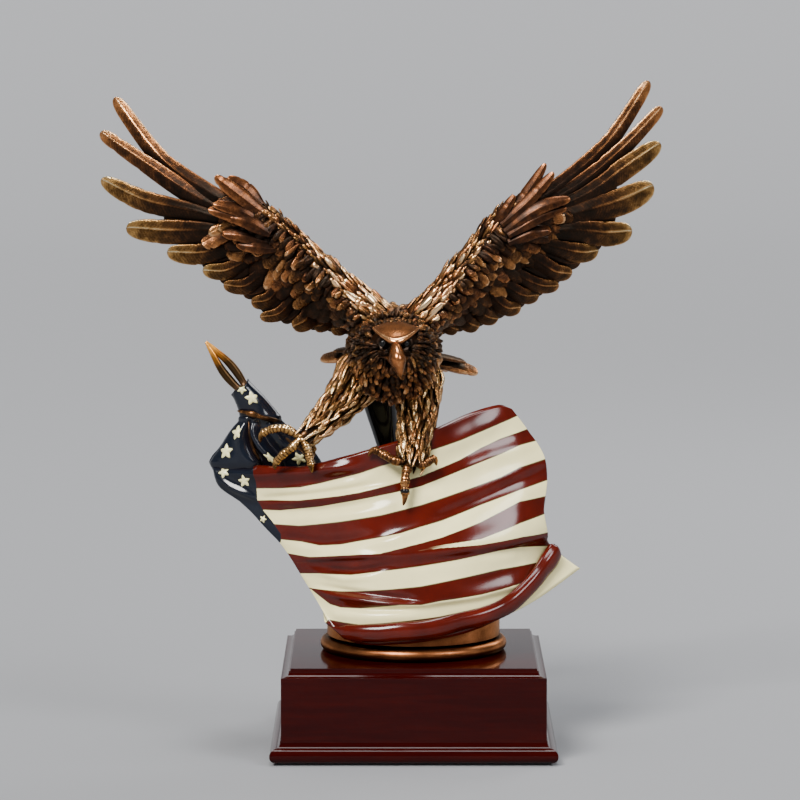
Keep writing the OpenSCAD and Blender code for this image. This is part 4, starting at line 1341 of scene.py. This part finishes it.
# x, z, radius and turn of the stars in front of the gathered cloth, then behind it
GATHER_STARS = [(-93.1, 146.2, 4.4, 12), (-98.9, 151.2, 2.9, 40), (-101.7, 126.4, 4.9, 20),
                (-108.2, 115, 4.7, 5), (-82.7, 112, 4.7, 0), (-66, 111, 4.4, 25)]
STARS_BEHIND = [(-95, 141, 4.4, 0), (-97, 124, 4.6, 25), (-84, 127, 4.4, 10), (-104, 110, 4.6, 40),
                (-88, 108, 4.6, 5), (-71, 112, 4.6, 30), (-78, 94, 4.6, 15), (-96, 93, 4.6, 50),
                (-60, 95, 4.6, 0)]


def build_gather():
    skin = Skin()
    cloth_up = unit(vec(*GATHER[0][0]) - vec(*GATHER[1][0]))
    rows, sides, mouth = 190, 132, len(MOUTH)
    rings, uv = np.zeros((rows + mouth, sides, 3)), np.zeros((rows + mouth, sides, 2))
    columns = list(zip(*GATHER))
    for i, t in enumerate(shares(rows)):
        c, h, depth = [along(column, t) for column in columns]
        cone = float(smooth(0.17, 0.3, t))
        turn_of_fold = -2.1 + 0.5 * float(smooth(0.2, 0.48, t))
        for k, a in enumerate(turns(sides)):
            off = (a + pi) % FULL_TURN - pi - turn_of_fold
            grow = sum(cone * height * exp(-((off - at) / wide) ** 2) for height, at, wide in PLEATS)
            back = float(smooth(-0.2, 0.4, sin(a)))
            grow += 0.07 * back * cone * sin(9 * a + 1.6 * sin(5 * t))
            grow += (1 - cone) * 0.018 * sin(5 * a + 9 * t)
            # the band where the cloth is tied, then its lip
            grow += 0.03 * exp(-((t - 0.205) / 0.012) ** 2) - 0.05 * exp(-((t - 0.235) / 0.014) ** 2)
            lip = 0.05 * exp(-(t / 0.012) ** 2) * (1 + 0.5 * sin(3 * a))
            across = h * cos(a) + vec(0, depth, 0) * sin(a)
            grow += 0.06 * cone * noise.noise(Vector(c + across) * 0.075)
            torn = cloth_up * (1.5 + 0.5 * sin(3 * a + 1) + 0.2 * sin(7 * a)) * (1 - t / 0.06)
            row = i + mouth
            rings[row, k] = c + across * (1 + grow + lip) + (torn if t < 0.06 else 0)
            if i == 0:
                for m, (share, sunk) in enumerate(MOUTH):
                    rings[m, k] = c + across * (1 + grow + lip) * share + torn - cloth_up * sunk
            low = float(smooth(64, 76, rings[row, k][2] - 4 * sin(3 * a)))
            uv[row, k] = (5 - 10 * low, 7 + 6.5 * sin(a / 2) + 0.4 * sin(4 * t))
    uv[:mouth] = (-5, 7)
    skin.tube(rings, uv, 0.5, 0.0)
    cord = [(-101.6, 2, 138.3), (-98, -3, 138.2), (-92, -5.2, 137), (-85, -4.6, 134.6), (-77, 1, 132.6)]
    round_tube(skin, cord,
               lambda t: (0.8 + 0.9 * t) * sin(pi * (0.12 + 0.8 * t)) * (1 + 0.2 * sin(17 * t)),
               44, 12, lambda t, a: 0.26 - 0.26 * t + 0.12 * sin(23 * t) ** 2, 0.4, squash=1.3, mark=1)
    crease = [(-95, -2.5, 133), (-94.6, -4.4, 128), (-93.6, -5.4, 122), (-91.6, -5.8, 116),
              (-88.6, -6, 111)]
    round_tube(skin, crease, lambda t: (0.6 + 1.3 * t) * sin(pi * (0.1 + 0.82 * t)) ** 0.7,
               44, 12, lambda t, a: 0.02 + 0.14 * sin(15 * t) ** 2, 0.4, squash=0.8, mark=1)
    cloth = skin.build("flag_gather", [STRIPED, POLISHED], ["flag_gather"], "canton_enamel")
    add_stars("flag_gather", cloth, GATHER_STARS, STARS_BEHIND)


STAFF_FOOT, STAFF_LEAN = vec(0, 4, 38), 41
# share of the finial's length, half width of the whole, half width of its slit
FINIAL = [(0, 4.0, 0.1), (0.12, 4.9, 0.35), (0.25, 5.5, 0.55), (0.4, 5.6, 0.65), (0.55, 4.8, 0.4),
          (0.66, 3.9, 0.0), (0.76, 3.0, -0.5), (0.88, 2.0, -0.4), (0.96, 1.3, -0.2), (1, 0.5, -0.1)]
FINIAL_BLUR = (-0.06, -0.02, 0.02, 0.06)


def build_finial():
    """Two curved blades that leave a short slit between them and meet at the point."""
    skin = Skin()
    lean = radians(STAFF_LEAN)
    up = vec(-sin(lean), 0, cos(lean))
    side = vec(cos(lean), 0, sin(lean))
    base = STAFF_FOOT + up * 151
    reach = up * 33.5 + side * 1.6
    rows, sides = 70, 18
    at, outers, slits = zip(*FINIAL)
    for way in (-1, 1):
        rings = []
        for t in shares(rows):
            outer, slit = [sum(np.interp(t + shift, at, row) for shift in FINIAL_BLUR) / 4
                           for row in (outers, slits)]
            wide = (outer - slit) / 2
            deep = 2.3 * (1 - t ** 2.4) + 0.4
            c = base + reach * t + side * way * (outer + slit) / 2
            rings.append([c + side * cos(a) * wide + vec(0, sin(a), 0) * deep for a in turns(sides)])
        uv = [[(0, t)] * sides for t in shares(rows)]
        skin.tube(np.array(rings), np.array(uv), 0.7, 1.0)
    skin.build("finial", [GOLDEN], ["finial"], "staff_bronze")


POST_PATH = [(3, 27, 24), (-4, 24, 62), (-12, 18, 104), (-18, 11, 136), (-21, 7, 156)]
POST_RADII = [7, 6, 5.8, 9, 13]


def build_post():
    skin = Skin()
    round_tube(skin, POST_PATH, lambda t: along(POST_RADII, t), 60, 48, 0.3, 0.0,
               bump=lambda t, a: 1 + 0.02 * sin(3 * a + 5 * t))
    skin.build("support_post", [GLOSS], ["support_post"], "black_gloss")


# ---------------------------------------------------------------- base and stage

SIDES = ("front", "back", "left", "right")
BEVEL_WIDTH = 0.0005


def finish_base():
    grain_x, grain_y = lacquered_wood("wood_x", 0), lacquered_wood("wood_y", 1)
    steel, plain = zinc(), bare_wood()
    paints = {"pedestal_ring": COPPER, "pedestal_drum": COPPER, "felt_pad": felt(), "base_plate": plain,
              "glue_blocks": plain, "flag_staff": GOLDEN, "finial_collar": GOLDEN, "top_board": grain_x}
    for side in SIDES:
        grain = grain_x if side in ("front", "back") else grain_y
        paints[side + "_panel"] = paints["foot_moulding_" + side] = grain
    for name, node in frame["nodes"].items():
        if node.hide_render:
            continue
        node.data.materials.clear()
        node.data.materials.append(paints.get(name, steel))
    for name in ["top_board"] + [side + "_panel" for side in SIDES]:
        bevel = frame["nodes"][name].modifiers.new("edge", "BEVEL")
        bevel.width = BEVEL_WIDTH
        bevel.segments = 2
        bevel.limit_method = "ANGLE"


# the floor in metres: flat part, width and steps of the part that rises, and how fast it rises
FLOOR_FLAT, FLOOR_RISE, FLOOR_STEPS, FLOOR_SIDES, FLOOR_CURVE = 3.7, 4.0, 14, 96, 0.0875
FLOOR_GREY = (0.215, 0.219, 0.23, 1)


def build_stage():
    """A flat floor that curves up gently far from the object, the same on every side."""
    mesh = bpy.data.meshes.new("floor")
    sides = FLOOR_SIDES
    reach = [FLOOR_FLAT + FLOOR_RISE * k / FLOOR_STEPS for k in range(FLOOR_STEPS + 1)]
    points = [(r * cos(a), r * sin(a), FLOOR_CURVE * (r - FLOOR_FLAT) ** 2)
              for r in reach for a in turns(sides)]
    faces = [list(range(sides))]
    for row in range(FLOOR_STEPS):
        for k in range(sides):
            a, b = row * sides + k, row * sides + (k + 1) % sides
            faces.append([a, a + sides, b + sides, b])
    mesh.from_pydata(points, [], faces)
    mesh.polygons.foreach_set("use_smooth", [True] * len(mesh.polygons))
    mesh.materials.append(Nodes("floor").set(Base_Color=FLOOR_GREY, Roughness=0.75))
    floor = put_in_scene("floor", mesh)


SKY, SKY_STRENGTH = (0.60, 0.63, 0.68, 1), 0.27
# where the lights are, in metres; they all point at the middle of the object
LIGHTS = [
    ("key", "SUN", (-0.75, -1.35, 1.75), dict(angle=radians(22), energy=5.7, color=(1.0, 0.98, 0.95))),
    ("fill", "SUN", (1.6, -1.3, 1.6), dict(angle=radians(20), energy=1.5, color=(0.97, 0.98, 1.0))),
    ("top", "SUN", (0.1, 0.1, 2.0), dict(angle=radians(25), energy=2.3)),
    ("back", "AREA", (0.9, 1.2, 1.1), dict(shape="RECTANGLE", size=0.7, size_y=0.7, energy=10))]
MIDDLE = Vector((0, 0, 0.2))
# the photo's camera, solved from the corners of the base: place in metres, degrees down, lens in mm
CAMERA_AT, CAMERA_DOWN, LENS, SENSOR, CLIP = (-0.0078, -2.482, 0.472), 6.28, 194.8, 36, 60


def make(collection, *args, **settings):
    """A light or a camera with those settings, put in the scene."""
    data = collection.new(*args)
    for key, value in settings.items():
        setattr(data, key, value)
    return put_in_scene(args[0], data)


def build_studio():
    world = bpy.data.worlds.new("studio")
    bpy.context.scene.world = world
    world.use_nodes = True
    colour, strength = world.node_tree.nodes["Background"].inputs[:2]
    colour.default_value, strength.default_value = SKY, SKY_STRENGTH
    for name, kind, at, settings in LIGHTS:
        light = make(bpy.data.lights, name, kind, **settings)
        light.location = at
        light.rotation_euler = (MIDDLE - Vector(at)).to_track_quat("-Z", "Y").to_euler()
    camera = make(bpy.data.cameras, "camera", sensor_width=SENSOR, lens=LENS, clip_end=CLIP)
    camera.location = CAMERA_AT
    camera.rotation_euler = (radians(90 - CAMERA_DOWN), 0, 0)
    bpy.context.scene.camera = camera


build_studio()
build_stage()
build_wing("right_wing", RIGHT_ARM, RIGHT_FLIGHT, RIGHT_LEAVES)
build_wing("left_wing", LEFT_ARM, LEFT_FLIGHT, LEFT_LEAVES)
build_torso()
build_head()
build_eyes()
build_leg("right_leg", RIGHT_THIGH, RIGHT_THIGH_R, RIGHT_TOES, 0.66, 0.9)
build_leg("left_leg", LEFT_THIGH, LEFT_THIGH_R, LEFT_TOES, 0.8, 0.3)
build_tail()
build_flag()
build_gather()
build_finial()
build_post()
finish_base()
